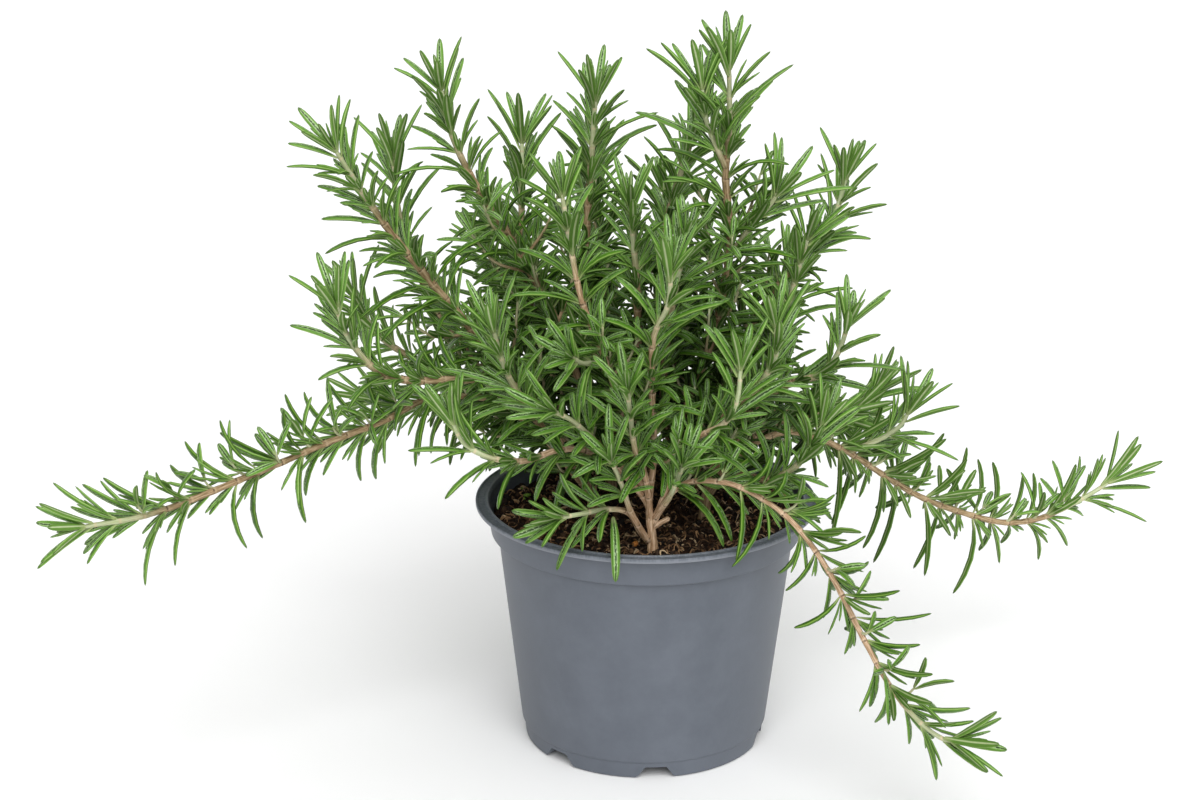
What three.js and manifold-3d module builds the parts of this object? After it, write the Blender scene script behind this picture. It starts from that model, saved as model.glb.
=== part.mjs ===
// A potted rosemary: a moulded nursery pot, its soil, the woody trunks and the leafy stems.
// Millimetres, +Z up. The origin is the middle of the pot's foot, on the surface that it stands on.

import * as THREE from "three";
import { mergeVertices } from "three/addons/utils/BufferGeometryUtils.js";
import Module from "manifold-3d";

const wasm = await Module();
wasm.setup();

// Driving dimensions of the pot

const RIM_RADIUS = 65;
const POT_HEIGHT = 96;
const RIM_WIDTH = 4.4;
const RIM_THICKNESS = 1.5;
const COLLAR_BOTTOM = 83;
const COLLAR_STEP = 2.6;
const BODY_TOP_RADIUS = 56.5;
const BODY_BOTTOM_RADIUS = 47.5;
const WALL = 1.4;
const FOOT_HEIGHT = 7;
const FOOT_RADIUS = 46;
const FOOT_WIDTH = 5.5;
const FOOT_DRAFT = 0.7;
const RIM_EDGE_ROUND = 0.45;
const RIM_INNER_BEVEL = 1.1;
const FLOOR_UNDERSIDE = 5.4;
const FLOOR_TOP = 7.2;
const POT_SIDES = 45;

// Six drainage notches in the foot ring, in three pairs
const NOTCH_PAIRS = 3;
const NOTCH_PAIR_TURN = -20;
const NOTCH_PAIR_SPREAD = 25;
const NOTCH_WIDTH = 14.5;
const NOTCH_ROOF_WIDTH = 8;
const NOTCH_HEIGHT = 4.6;
const NOTCH_REACH = 8;
const NOTCH_INWARD = 6;
const NOTCH_BELOW = 0.5;
const DRAIN_HOLE_RADIUS = 3.5;
const DRAIN_RING_RADIUS = 26;
const DRAIN_HOLES = 6;
const DRAIN_HOLE_SIDES = 6;

// The soil

const CLEARANCE = 0.4;
const SOIL_LEVEL = 89.5;
const SOIL_CROWN = 1.5;
const SOIL_RELIEF = 1.1;
const SOIL_SECTORS = 24;
const SOIL_RINGS = [0.35, 0.7, 1];
const HOLE_DEPTH = 22;
const HOLE_SIDES = 8;

// The plant

const TRUNK_FOOT_RADIUS = 2.3;
const TRUNK_RADIUS = 1.9;
const WOOD_RADIUS = 1.6;
const STEM_RADIUS = 1.4;
const TIP_RADIUS = 0.85;
const TRUNK_SIDES = 5;
const STEM_SIDES = 4;
const BUTT_GAP = 0.3;
const CURVE_DIVISIONS = 40;
const STEM_STEP = 17;
const WOOD_STEP = 18;
const FORK_OVERLAP = 4;
const SHOOT_SHARE = 0.8;
const STEEP = 0.9;

const NEEDLE_LENGTH = 25;
const NEEDLE_WIDTH = 2.9;
const NEEDLE_TIP_WIDTH = 1.5;
const NEEDLE_THICKNESS = 1.4;
const NEEDLE_KEEL_SHARE = 0.65;
const NEEDLE_BEND_AT = 0.45;
const NEEDLE_RECURVE = 0.35;
const WHORL_SPACING = 15;
const FIRST_WHORL = WHORL_SPACING * 0.4;
const LAST_WHORL = WHORL_SPACING * 0.75;
const TUFT_NEEDLES = 5;
const TUFT_SETBACK = 1.5;
const TUFT_RECURVE = 0.18;
const YOUNG_LENGTH = 60;

// How far needles open from the stem's direction, in radians, from young to mature
const TUFT_OPENING = 0.28;
const TUFT_OPENING_SPREAD = 0.35;
const YOUNG_OPENING = 0.6;
const MATURE_OPENING = 1.05;
const OPENING_SPREAD = 0.3;
const TURN_SPREAD = 0.12;

// The shortest needles as shares of the full length, and how much longer others grow
const TUFT_SHORTEST = 0.68;
const TUFT_LENGTH_SPREAD = 0.22;
const WHORL_SHORTEST = 0.86;
const WHORL_LENGTH_SPREAD = 0.3;

// The room that needles leave: between two stems, on one stem, above the ground and round the pot
const LEAST_SPACE = 3.2;
const LEAST_SPACE_BESIDE = 2.2;
const FLOOR_SPACE = 3;
const POT_SPACE = 2;
const SAMPLE_STEP = 3;
const ROOT_SHARES = [0.4, 0.7, 1];
const TIP_SHARES = [0.25, 0.5, 0.75, 1];
const NEIGHBOUR_TURNS = [0, 0.35, -0.35, 0.7, -0.7];
const WOOD_OWNER = -1;

// Each kind of draw has its own number, so that no two read the same chances
const DRAW = {
  tuftTurn: 1, tuftOpening: 2, tuftLength: 3, whorlTurn: 4, whorlOpening: 5, whorlLength: 6, soil: 7,
};

const X = 0;
const Y = 1;

// Where each trunk leaves the soil, and the point where it forks
const TRUNKS = {
  front: { foot: [2, -43], fork: [1, -43, 99] },
  left: { foot: [-20, -8], fork: [-21, -8, 100] },
  right: { foot: [22, -10], fork: [23, -10, 100] },
  back_left: { foot: [-13, 20], fork: [-14, 21, 100] },
  back_right: { foot: [15, 22], fork: [16, 23, 100] },
};

// Where the front trunk's lowest branch leaves it
const LOW_BRANCH = [1.5, -43.3, 93.5];

// Each leafy stem: its trunk, the points of its bare woody run and those of its leafy run,
// from the fork to the tip, and the runs of its side shoots. A stem that leaves its trunk below the
// fork has its own start, and one with longer needles has its own growth.
const STEMS = [
  {
    name: "front_low", trunk: "front", start: LOW_BRANCH,
    wood: [[-2.5, -45, 99], [-7, -48, 107.5]],
    leafy: [[-15, -56, 112], [-25, -64, 113], [-32, -70, 114]],
  },
  {
    name: "front_centre_tall", trunk: "front",
    wood: [[0.3, -43, 110], [-3, -42, 128]],
    leafy: [[-10, -41, 146], [-17, -44, 168], [-25, -46, 190], [-31.5, -45, 226]],
  },
  {
    name: "front_centre", trunk: "front",
    wood: [[0.5, -43, 110], [2, -45, 130]],
    leafy: [[1, -49, 152], [1, -53, 175], [6, -57, 189], [7, -58, 202]],
  },
  {
    name: "left_low", trunk: "front",
    wood: [[0, -43, 110], [-6, -43.5, 122]],
    leafy: [[-22, -44, 130], [-33, -49, 132], [-45, -55, 130], [-57, -60, 133], [-66, -62, 139],
      [-70, -62, 147]],
  },
  {
    name: "front_right", trunk: "front",
    wood: [[4, -43.5, 107], [9.5, -45, 123]],
    leafy: [[17, -53, 138], [27, -58, 146], [31, -61, 156], [32, -62, 168]],
  },
  {
    name: "right_drooping", trunk: "front",
    wood: [[4, -43.5, 107], [13, -48, 119]],
    leafy: [[28, -55, 122], [42, -60, 117], [54, -65, 108], [66, -72, 92], [77, -80, 72],
      [87, -88, 56], [97, -92, 45], [105, -95, 40], [109, -96, 40]],
  },
  {
    name: "front_rosette_left", trunk: "front",
    wood: [[0, -43.3, 109], [-7, -47, 120]],
    leafy: [[-19, -57, 138], [-27, -64, 148], [-34, -70, 154]],
  },
  {
    name: "front_rosette_middle", trunk: "front",
    wood: [[0.5, -43.8, 109], [-1, -50, 122]],
    leafy: [[-5, -61, 136], [-7, -68, 152], [-8, -73, 163]],
  },
  {
    name: "front_rosette_low", trunk: "front", start: LOW_BRANCH,
    wood: [[-2, -45.5, 99], [-6.5, -52, 110]],
    leafy: [[-10, -61, 124], [-14, -69, 136]],
  },
  {
    name: "front_rosette_right", trunk: "front",
    wood: [[3.8, -44, 106], [7.5, -52, 115]],
    leafy: [[9, -60, 122], [12, -69, 134]],
  },
  {
    name: "left_upper", trunk: "left", growth: 1.1,
    wood: [[-27, -7, 112], [-38, -7, 128]],
    leafy: [[-50, -8, 144], [-65, -10, 165], [-80, -14, 185], [-95, -18, 206], [-107, -22, 226],
      [-113, -24, 237]],
  },
  {
    name: "left_middle", trunk: "left",
    wood: [[-26, -13, 112], [-35, -20, 132]],
    leafy: [[-51, -26, 150], [-71, -32, 153], [-86, -36, 154], [-97, -40, 158], [-105, -42, 167],
      [-110, -44, 177], [-112, -44, 185]],
  },
  {
    name: "left_trailing", trunk: "left",
    wood: [[-28, -10, 110], [-41, -13, 127]],
    leafy: [[-56, -14, 139], [-80, -20, 142], [-98, -30, 136], [-117, -42, 132], [-136, -54, 127],
      [-174, -74, 117], [-199, -87, 116]],
  },
  {
    name: "left_inner", trunk: "left",
    wood: [[-24, -16, 110], [-31, -27, 122]],
    leafy: [[-42, -39, 142], [-51, -46, 160], [-56, -48, 177]],
  },
  {
    name: "left_back", trunk: "left",
    wood: [[-30, -2, 110], [-43, 8, 121]],
    leafy: [[-62, 22, 130], [-84, 36, 136], [-104, 44, 146], [-114, 48, 161]],
  },
  {
    name: "right_middle", trunk: "right",
    wood: [[26, -13, 112], [33, -17, 128]],
    leafy: [[42, -20, 142], [54, -26, 151], [63, -29, 155], [69, -31, 164], [72, -32, 175]],
  },
  {
    name: "right_trailing", trunk: "right", growth: 1.15,
    wood: [[29, -9, 110], [40, -5, 119]],
    leafy: [[53, 4, 121], [66, 12, 116], [80, 22, 106], [95, 32, 93], [110, 42, 81], [127, 52, 71],
      [146, 61, 63], [162, 68, 62], [176, 74, 66], [187, 78, 71], [192, 80, 74]],
    shoots: [[[78, 21, 107], [91, 20, 113], [98, 18, 119], [101, 17, 125]]],
  },
  {
    name: "right_low", trunk: "right",
    wood: [[27, -15, 108], [34, -23, 114]],
    leafy: [[44, -35, 116], [53, -42, 123], [59, -44, 132], [63, -44, 141]],
  },
  {
    name: "right_front", trunk: "right",
    wood: [[24, -15, 112], [24, -25, 125]],
    leafy: [[26, -34, 138], [34, -40, 148], [40, -44, 156], [45, -46, 167], [45, -46, 179]],
  },
  {
    name: "right_back", trunk: "right",
    wood: [[31, -5, 110], [44, 7, 121]],
    leafy: [[60, 20, 122], [74, 31, 119], [83, 37, 119], [90, 40, 125]],
  },
  {
    name: "right_inner", trunk: "right",
    wood: [[28, -8, 113], [38, -7, 130]],
    leafy: [[45, -7, 150], [51.6, -6, 171.7], [56, -4, 190], [58.7, -4, 200]],
  },
  {
    name: "left_upper_back", trunk: "back_left", growth: 1.1,
    wood: [[-24, 23, 112], [-38, 25, 121]],
    leafy: [[-58, 27, 131], [-80, 32, 160], [-91, 36, 183], [-96, 38, 203], [-97, 40, 219]],
  },
  {
    name: "left_tall", trunk: "back_left",
    wood: [[-16, 16, 112], [-19, 8, 123]],
    leafy: [[-24, 1, 137], [-33, 4, 162], [-52, 8, 197], [-65, 10, 217], [-73, 12, 234], [-77, 12, 252]],
  },
  {
    name: "left_slim", trunk: "back_left", growth: 1.1,
    wood: [[-18, 24, 112], [-25, 29, 122]],
    leafy: [[-34, 34, 134], [-45, 38, 160], [-48, 40, 192], [-48, 42, 225]],
  },
  {
    name: "centre_tall", trunk: "back_left", growth: 1.15,
    wood: [[-13, 22, 113], [-14, 26, 124]],
    leafy: [[-18, 31, 138], [-23, 35, 165], [-23, 38, 194], [-21.5, 40, 218], [-20, 40, 242]],
  },
  {
    name: "centre_inner", trunk: "back_left",
    wood: [[-10, 16, 112], [-6, 8, 124]],
    leafy: [[-4, 0, 144], [-4, -8, 176], [-7, -12, 214]],
  },
  {
    name: "back_left_middle", trunk: "back_left",
    wood: [[-20, 28, 110], [-28, 40, 120]],
    leafy: [[-40, 56, 136], [-52, 69, 152], [-62, 78, 172]],
  },
  {
    name: "back_left_tall", trunk: "back_left",
    wood: [[-14, 28, 112], [-13, 39, 124]],
    leafy: [[-14, 54, 146], [-18, 67, 170], [-20, 75, 194], [-20, 79, 212]],
  },
  {
    name: "back_left_low", trunk: "back_left",
    wood: [[-24, 29, 107], [-37, 41, 112]],
    leafy: [[-56, 57, 115], [-76, 70, 112], [-96, 80, 106], [-112, 85, 106]],
  },
  {
    name: "right_tall", trunk: "back_right", growth: 1.25,
    wood: [[15, 16, 112], [14, 5, 124]],
    leafy: [[16, -4, 138], [24, -6, 160], [28, -6, 182], [30, -6, 199], [28, -4, 222], [29, -3, 242],
      [28.5, -2, 263]],
    shoots: [
      [[28, -4, 226], [24, -6, 235], [20, -8, 246], [18.5, -8, 257]],
      [[29.3, -6, 193], [36.7, -7, 203.4], [44.4, -9.5, 214], [46.5, -10, 218]],
    ],
  },
  {
    name: "right_back_tall", trunk: "back_right",
    wood: [[14, 25, 112], [12, 28, 126]],
    leafy: [[12, 31, 154], [7, 34, 188], [11, 36, 208], [15, 38, 221], [19, 38, 234]],
  },
  {
    name: "right_upper", trunk: "back_right",
    wood: [[20, 18, 112], [24, 12, 123]],
    leafy: [[28, 7, 138], [38, 10, 158], [48, 14, 174], [59, 16, 186], [68, 18, 198], [72, 20, 207],
      [74, 20, 217]],
  },
  {
    name: "right_centre_inner", trunk: "back_right",
    wood: [[12, 17, 112], [7, 7, 123]],
    leafy: [[6, -4, 142], [8, -15, 172], [13, -22, 203]],
  },
  {
    name: "back_right_middle", trunk: "back_right",
    wood: [[23, 29, 110], [31, 41, 120]],
    leafy: [[42, 56, 136], [51, 69, 152], [57, 78, 168]],
  },
  {
    name: "back_right_tall", trunk: "back_right",
    wood: [[15, 30, 112], [14, 41, 124]],
    leafy: [[14, 56, 146], [12, 68, 166], [9, 75, 184], [7, 79, 197]],
  },
  {
    name: "back_right_low", trunk: "back_right",
    wood: [[27, 29, 107], [40, 42, 111]],
    leafy: [[58, 60, 111], [75, 75, 104], [92, 88, 96]],
  },
  {
    name: "back_drooping", trunk: "back_right",
    wood: [[10, 31, 108], [4, 44, 114]],
    leafy: [[0, 60, 117], [-3, 78, 109], [-5, 95, 97]],
  },
];

const PLASTIC = new THREE.MeshStandardMaterial({ color: 0x6f7680, roughness: 0.5, metalness: 0 });
const SOIL = new THREE.MeshStandardMaterial({ color: 0x2a1b13, roughness: 1, metalness: 0 });
const BARK = new THREE.MeshStandardMaterial({ color: 0x8f7560, roughness: 0.9, metalness: 0 });
const LEAF = new THREE.MeshStandardMaterial({ color: 0x3f7439, roughness: 0.6, metalness: 0 });

// Solids from three.js geometry and back

function solidOf(geometry) {
  geometry.deleteAttribute("normal");
  geometry.deleteAttribute("uv");
  const merged = mergeVertices(geometry, 1e-4);
  const mesh = new wasm.Mesh({
    numProp: 3,
    vertProperties: new Float32Array(merged.attributes.position.array),
    triVerts: new Uint32Array(merged.index.array),
  });
  return new wasm.Manifold(mesh);
}

function geometryOf(solid) {
  const mesh = solid.getMesh();
  const geometry = new THREE.BufferGeometry();
  geometry.setAttribute("position", new THREE.BufferAttribute(mesh.vertProperties, 3));
  geometry.setIndex(new THREE.BufferAttribute(mesh.triVerts, 1));
  geometry.computeVertexNormals();
  return geometry;
}

function joined(solids) {
  return solids.reduce((whole, piece) => whole.add(piece));
}

// The largest body of a fused solid: loose scraps and sealed hollows go
function mainBody(solid) {
  const bodies = solid.decompose();
  return bodies.reduce((best, body) => (body.volume() > best.volume() ? body : best));
}

// A closed loft through rings of points that all have the same number of corners
function loft(rings) {
  const corners = rings[0].length;
  const positions = rings.flat().flatMap((point) => [point.x, point.y, point.z]);
  const triangles = [];
  for (let corner = 1; corner < corners - 1; corner += 1) {
    const last = (rings.length - 1) * corners;
    triangles.push(0, corner + 1, corner);
    triangles.push(last, last + corner, last + corner + 1);
  }
  for (let ring = 0; ring < rings.length - 1; ring += 1) {
    for (let corner = 0; corner < corners; corner += 1) {
      const a = ring * corners + corner;
      const b = ring * corners + ((corner + 1) % corners);
      triangles.push(a, b, b + corners);
      triangles.push(a, b + corners, a + corners);
    }
  }
  const geometry = new THREE.BufferGeometry();
  geometry.setAttribute("position", new THREE.Float32BufferAttribute(positions, 3));
  geometry.setIndex(triangles);
  return solidOf(geometry);
}

// The pot

function potProfile() {
  const rimInner = RIM_RADIUS - RIM_WIDTH;
  const rimBottom = POT_HEIGHT - RIM_THICKNESS;
  const collarRadius = BODY_TOP_RADIUS + COLLAR_STEP;
  const footInner = FOOT_RADIUS - FOOT_WIDTH;
  return [
    [0, FLOOR_UNDERSIDE],
    [footInner - FOOT_DRAFT / 2, FLOOR_UNDERSIDE],
    [footInner, 0],
    [FOOT_RADIUS, 0],
    [FOOT_RADIUS + FOOT_DRAFT, FOOT_HEIGHT - FOOT_DRAFT],
    [BODY_BOTTOM_RADIUS, FOOT_HEIGHT],
    [BODY_TOP_RADIUS, COLLAR_BOTTOM],
    [collarRadius, COLLAR_BOTTOM + RIM_EDGE_ROUND],
    [rimInner, rimBottom],
    [RIM_RADIUS, rimBottom],
    [RIM_RADIUS, POT_HEIGHT - RIM_EDGE_ROUND],
    [RIM_RADIUS - RIM_EDGE_ROUND, POT_HEIGHT],
    [rimInner, POT_HEIGHT],
    [rimInner - RIM_INNER_BEVEL, POT_HEIGHT - RIM_INNER_BEVEL],
    [collarRadius - WALL, COLLAR_BOTTOM + WALL],
    [BODY_TOP_RADIUS - WALL, COLLAR_BOTTOM - WALL],
    [BODY_BOTTOM_RADIUS - WALL, FLOOR_TOP],
    [0, FLOOR_TOP],
  ];
}

function lathe(profile, sides) {
  const points = profile.map(([radius, height]) => new THREE.Vector2(radius, height));
  return solidOf(new THREE.LatheGeometry(points, sides).rotateX(Math.PI / 2));
}

// A trapezoid prism that cuts one notch through the foot ring, at an angle from the front
function notch(angle) {
  const shape = new THREE.Shape([
    new THREE.Vector2(-NOTCH_WIDTH / 2, -NOTCH_BELOW),
    new THREE.Vector2(NOTCH_WIDTH / 2, -NOTCH_BELOW),
    new THREE.Vector2(NOTCH_ROOF_WIDTH / 2, NOTCH_HEIGHT),
    new THREE.Vector2(-NOTCH_ROOF_WIDTH / 2, NOTCH_HEIGHT),
  ]);
  const geometry = new THREE.ExtrudeGeometry(shape, { depth: NOTCH_REACH, bevelEnabled: false });
  geometry.rotateX(Math.PI / 2);
  geometry.translate(0, NOTCH_INWARD - FOOT_RADIUS, 0);
  geometry.rotateZ(THREE.MathUtils.degToRad(angle));
  return solidOf(geometry);
}

// An upright cutter, from its middle
function drill(radius, depth, sides, x, y, z) {
  const geometry = new THREE.CylinderGeometry(radius, radius, depth, sides);
  geometry.rotateX(Math.PI / 2);
  geometry.translate(x, y, z);
  return solidOf(geometry);
}

function drainHole(index) {
  const angle = (index / DRAIN_HOLES) * 2 * Math.PI;
  const x = DRAIN_RING_RADIUS * Math.cos(angle);
  const y = DRAIN_RING_RADIUS * Math.sin(angle);
  const thickness = FLOOR_TOP - FLOOR_UNDERSIDE;
  const depth = thickness * 3;
  return drill(DRAIN_HOLE_RADIUS, depth, DRAIN_HOLE_SIDES, x, y, FLOOR_UNDERSIDE + thickness / 2);
}

function makePot() {
  const cutters = [];
  for (let pair = 0; pair < NOTCH_PAIRS; pair += 1) {
    const middle = NOTCH_PAIR_TURN + (pair * 360) / NOTCH_PAIRS;
    cutters.push(notch(middle - NOTCH_PAIR_SPREAD), notch(middle + NOTCH_PAIR_SPREAD));
  }
  for (let index = 0; index < DRAIN_HOLES; index += 1) {
    cutters.push(drainHole(index));
  }
  return lathe(potProfile(), POT_SIDES).subtract(joined(cutters));
}

// The soil

// A repeatable number from 0 to 1 for any three whole numbers
function chance(a, b, c) {
  let bits = Math.imul(a + 1, 0x9e3779b1) ^ Math.imul(b + 1, 0x85ebca6b) ^ Math.imul(c + 1, 0xc2b2ae35);
  bits = Math.imul(bits ^ (bits >>> 15), 0x2c1b3c6d);
  bits = Math.imul(bits ^ (bits >>> 12), 0x297a2d39);
  bits ^= bits >>> 15;
  return (bits >>> 0) / 4294967296;
}

// The soil's radius at a height inside the collar, which widens up to the rim
function soilRadiusAt(height) {
  const lowRadius = BODY_TOP_RADIUS + COLLAR_STEP - WALL;
  const highRadius = RIM_RADIUS - RIM_WIDTH - RIM_INNER_BEVEL;
  const low = COLLAR_BOTTOM + WALL;
  const rise = (height - low) / (POT_HEIGHT - RIM_INNER_BEVEL - low);
  return THREE.MathUtils.lerp(lowRadius, highRadius, rise) - CLEARANCE;
}

function soilHeight(fraction, ring, sector) {
  const unevenness = SOIL_RELIEF * (chance(ring, sector, DRAW.soil) * 2 - 1);
  return SOIL_LEVEL + SOIL_CROWN * (1 - fraction * fraction) + unevenness;
}

function soilRing(radius, heightAt) {
  const ring = [];
  for (let sector = 0; sector < SOIL_SECTORS; sector += 1) {
    const angle = (sector / SOIL_SECTORS) * 2 * Math.PI;
    ring.push(new THREE.Vector3(radius * Math.cos(angle), radius * Math.sin(angle), heightAt(sector)));
  }
  return ring;
}

function makeSoil() {
  const side = [
    [BODY_BOTTOM_RADIUS - WALL - CLEARANCE, FLOOR_TOP + CLEARANCE],
    [BODY_TOP_RADIUS - WALL - CLEARANCE, COLLAR_BOTTOM - WALL + CLEARANCE],
    [BODY_TOP_RADIUS + COLLAR_STEP - WALL - CLEARANCE, COLLAR_BOTTOM + WALL + CLEARANCE],
  ];
  const rings = side.map(([radius, height]) => soilRing(radius, () => height));
  const topRadius = soilRadiusAt(SOIL_LEVEL);
  for (let ring = SOIL_RINGS.length - 1; ring >= 0; ring -= 1) {
    const fraction = SOIL_RINGS[ring];
    rings.push(soilRing(topRadius * fraction, (sector) => soilHeight(fraction, ring, sector)));
  }
  const holeRadius = TRUNK_FOOT_RADIUS + CLEARANCE;
  const holes = Object.values(TRUNKS).map(({ foot }) => (
    drill(holeRadius, HOLE_DEPTH * 2, HOLE_SIDES, foot[X], foot[Y], SOIL_LEVEL)
  ));
  return loft(rings).subtract(joined(holes));
}

// Paths of the trunks and stems

function vector([x, y, z]) {
  return new THREE.Vector3(x, y, z);
}

function curveThrough(points) {
  const curve = new THREE.CatmullRomCurve3(points, false, "catmullrom", 0.5);
  curve.arcLengthDivisions = (points.length - 1) * CURVE_DIVISIONS;
  return curve;
}

// A straight-sided run along a stretch of a curve: its corners, with frames that turn but don't twist
class Run {
  constructor(curve, from, to, step) {
    const whole = curve.getLength();
    const count = Math.max(1, Math.round((to - from) / step));
    this.length = to - from;
    this.step = this.length / count;
    this.frames = [];
    let side = null;
    for (let index = 0; index <= count; index += 1) {
      const share = Math.min(1, (from + index * this.step) / whole);
      const tangent = curve.getTangentAt(share);
      side ??= Math.abs(tangent.z) < STEEP ? new THREE.Vector3(0, 0, 1) : new THREE.Vector3(1, 0, 0);
      side = side.clone().addScaledVector(tangent, -side.dot(tangent)).normalize();
      this.frames.push({ point: curve.getPointAt(share), tangent, side, up: tangent.clone().cross(side) });
    }
  }

  at(distance) {
    const place = THREE.MathUtils.clamp(distance / this.step, 0, this.frames.length - 1);
    const index = Math.min(Math.floor(place), this.frames.length - 2);
    const low = this.frames[index];
    const high = this.frames[index + 1];
    const between = (key) => low[key].clone().lerp(high[key], place - index);
    const tangent = between("tangent").normalize();
    const side = between("side").normalize();
    return { point: between("point"), tangent, side, up: tangent.clone().cross(side) };
  }
}

// A tapering tube along a run
function tube(run, radiusFrom, radiusTo, sides) {
  const rings = run.frames.map(({ point, side, up }, index) => {
    const radius = THREE.MathUtils.lerp(radiusFrom, radiusTo, index / (run.frames.length - 1));
    const ring = [];
    for (let corner = 0; corner < sides; corner += 1) {
      const angle = (corner / sides) * 2 * Math.PI;
      ring.push(point.clone()
        .addScaledVector(side, radius * Math.cos(angle))
        .addScaledVector(up, radius * Math.sin(angle)));
    }
    return ring;
  });
  return loft(rings);
}

// Needles

// A needle's middle line: root, middle and tip, from its place on the stem
function needleLine(frame, around, opening, recurve, length) {
  const outward = frame.side.clone().multiplyScalar(Math.cos(around))
    .addScaledVector(frame.up, Math.sin(around));
  const heading = (angle) => frame.tangent.clone().multiplyScalar(Math.cos(angle))
    .addScaledVector(outward, Math.sin(angle));
  const middle = frame.point.clone().addScaledVector(heading(opening), length * NEEDLE_BEND_AT);
  const tip = middle.clone().addScaledVector(heading(opening + recurve), length * (1 - NEEDLE_BEND_AT));
  const across = frame.tangent.clone().cross(outward).normalize();
  return { root: frame.point, middle, tip, across };
}

// A needle is a three-sided blade, flat above and keeled below: a root sunk in the stem, its widest
// place, and a blunt tip
function needleSolid({ root, middle, tip, across }) {
  const along = tip.clone().sub(root).normalize();
  const face = along.clone().cross(across).normalize();
  const corner = (point, side, height) => point.clone()
    .addScaledVector(across, side)
    .addScaledVector(face, height);
  const keel = -NEEDLE_THICKNESS * NEEDLE_KEEL_SHARE;
  const top = NEEDLE_THICKNESS + keel;
  const corners = [
    root,
    corner(middle, -NEEDLE_WIDTH / 2, top),
    corner(middle, NEEDLE_WIDTH / 2, top),
    corner(middle, 0, keel),
    corner(tip, -NEEDLE_TIP_WIDTH / 2, 0),
    corner(tip, NEEDLE_TIP_WIDTH / 2, 0),
  ];
  const geometry = new THREE.BufferGeometry();
  const positions = corners.flatMap((point) => [point.x, point.y, point.z]);
  geometry.setAttribute("position", new THREE.Float32BufferAttribute(positions, 3));
  geometry.setIndex([0, 1, 2, 0, 2, 3, 0, 3, 1, 1, 5, 2, 1, 4, 5, 2, 5, 3, 3, 4, 1, 3, 5, 4]);
  return solidOf(geometry);
}

// The places that needles and stems already take, each with its owner's number
const taken = [];

function samples(line) {
  const places = [];
  for (const share of ROOT_SHARES) {
    places.push(line.root.clone().lerp(line.middle, share));
  }
  for (const share of TIP_SHARES) {
    places.push(line.middle.clone().lerp(line.tip, share));
  }
  return places;
}

// Whether a point is in the pot's wall or the soil, or too near them
function hitsPot(point) {
  const radius = Math.hypot(point.x, point.y);
  const aboveSoil = point.z > SOIL_LEVEL + SOIL_CROWN + POT_SPACE && radius < RIM_RADIUS - RIM_WIDTH * 2;
  if (point.z > POT_HEIGHT + POT_SPACE || aboveSoil) {
    return false;
  }
  const share = THREE.MathUtils.clamp((point.z - FOOT_HEIGHT) / (COLLAR_BOTTOM - FOOT_HEIGHT), 0, 1);
  const besideRim = point.z > COLLAR_BOTTOM - POT_SPACE;
  const wall = besideRim ? RIM_RADIUS : THREE.MathUtils.lerp(BODY_BOTTOM_RADIUS, BODY_TOP_RADIUS, share);
  return radius < wall + POT_SPACE;
}

function isClear(line, owner) {
  return samples(line).every((point, index) => {
    if (point.z < FLOOR_SPACE || hitsPot(point)) {
      return false;
    }
    return taken.every((place) => {
      if (place.owner === owner && (index < ROOT_SHARES.length || place.isStem)) {
        return true;
      }
      const least = place.owner === owner ? LEAST_SPACE_BESIDE : LEAST_SPACE;
      return place.point.distanceTo(point) >= least;
    });
  });
}

function take(line, owner) {
  for (const point of samples(line)) {
    taken.push({ point, owner, isStem: false });
  }
}

// Needles of one whorl or tuft: as they grow, or turned a little where a neighbour is in the way
function placeNeedle(frame, around, opening, recurve, length, owner) {
  for (const turn of NEIGHBOUR_TURNS) {
    const line = needleLine(frame, around + turn, opening, recurve, length);
    if (isClear(line, owner)) {
      take(line, owner);
      return line;
    }
  }
  return null;
}

function tuft(run, owner, growth) {
  const frame = run.at(run.length - TUFT_SETBACK);
  const lines = [];
  for (let needle = 0; needle < TUFT_NEEDLES; needle += 1) {
    const turn = needle / TUFT_NEEDLES + TURN_SPREAD * chance(owner, needle, DRAW.tuftTurn);
    const opening = TUFT_OPENING + TUFT_OPENING_SPREAD * chance(owner, needle, DRAW.tuftOpening);
    const share = TUFT_SHORTEST + TUFT_LENGTH_SPREAD * chance(owner, needle, DRAW.tuftLength);
    const length = NEEDLE_LENGTH * growth * share;
    lines.push(placeNeedle(frame, turn * 2 * Math.PI, opening, TUFT_RECURVE, length, owner));
  }
  return lines;
}

function whorls(run, owner, growth) {
  const lines = [];
  let count = 0;
  for (let distance = run.length - LAST_WHORL; distance > FIRST_WHORL; distance -= WHORL_SPACING) {
    const frame = run.at(distance);
    const maturity = THREE.MathUtils.smoothstep(run.length - distance, 0, YOUNG_LENGTH);
    const usualOpening = THREE.MathUtils.lerp(YOUNG_OPENING, MATURE_OPENING, maturity);
    for (const half of [0, 1]) {
      const needle = count * 2 + half;
      const turn = count * 0.5 + half + TURN_SPREAD * (chance(owner, needle, DRAW.whorlTurn) - 0.5);
      const opening = usualOpening + OPENING_SPREAD * (chance(owner, needle, DRAW.whorlOpening) - 0.5);
      const share = WHORL_SHORTEST + WHORL_LENGTH_SPREAD * chance(owner, needle, DRAW.whorlLength);
      const length = NEEDLE_LENGTH * growth * share;
      lines.push(placeNeedle(frame, turn * Math.PI + owner, opening, NEEDLE_RECURVE, length, owner));
    }
    count += 1;
  }
  return lines;
}

// The plant

// The length along a curve up to one of its own points
function lengthAt(curve, pointIndex) {
  const lengths = curve.getLengths();
  return lengths[(pointIndex * (lengths.length - 1)) / (curve.points.length - 1)];
}

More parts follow.
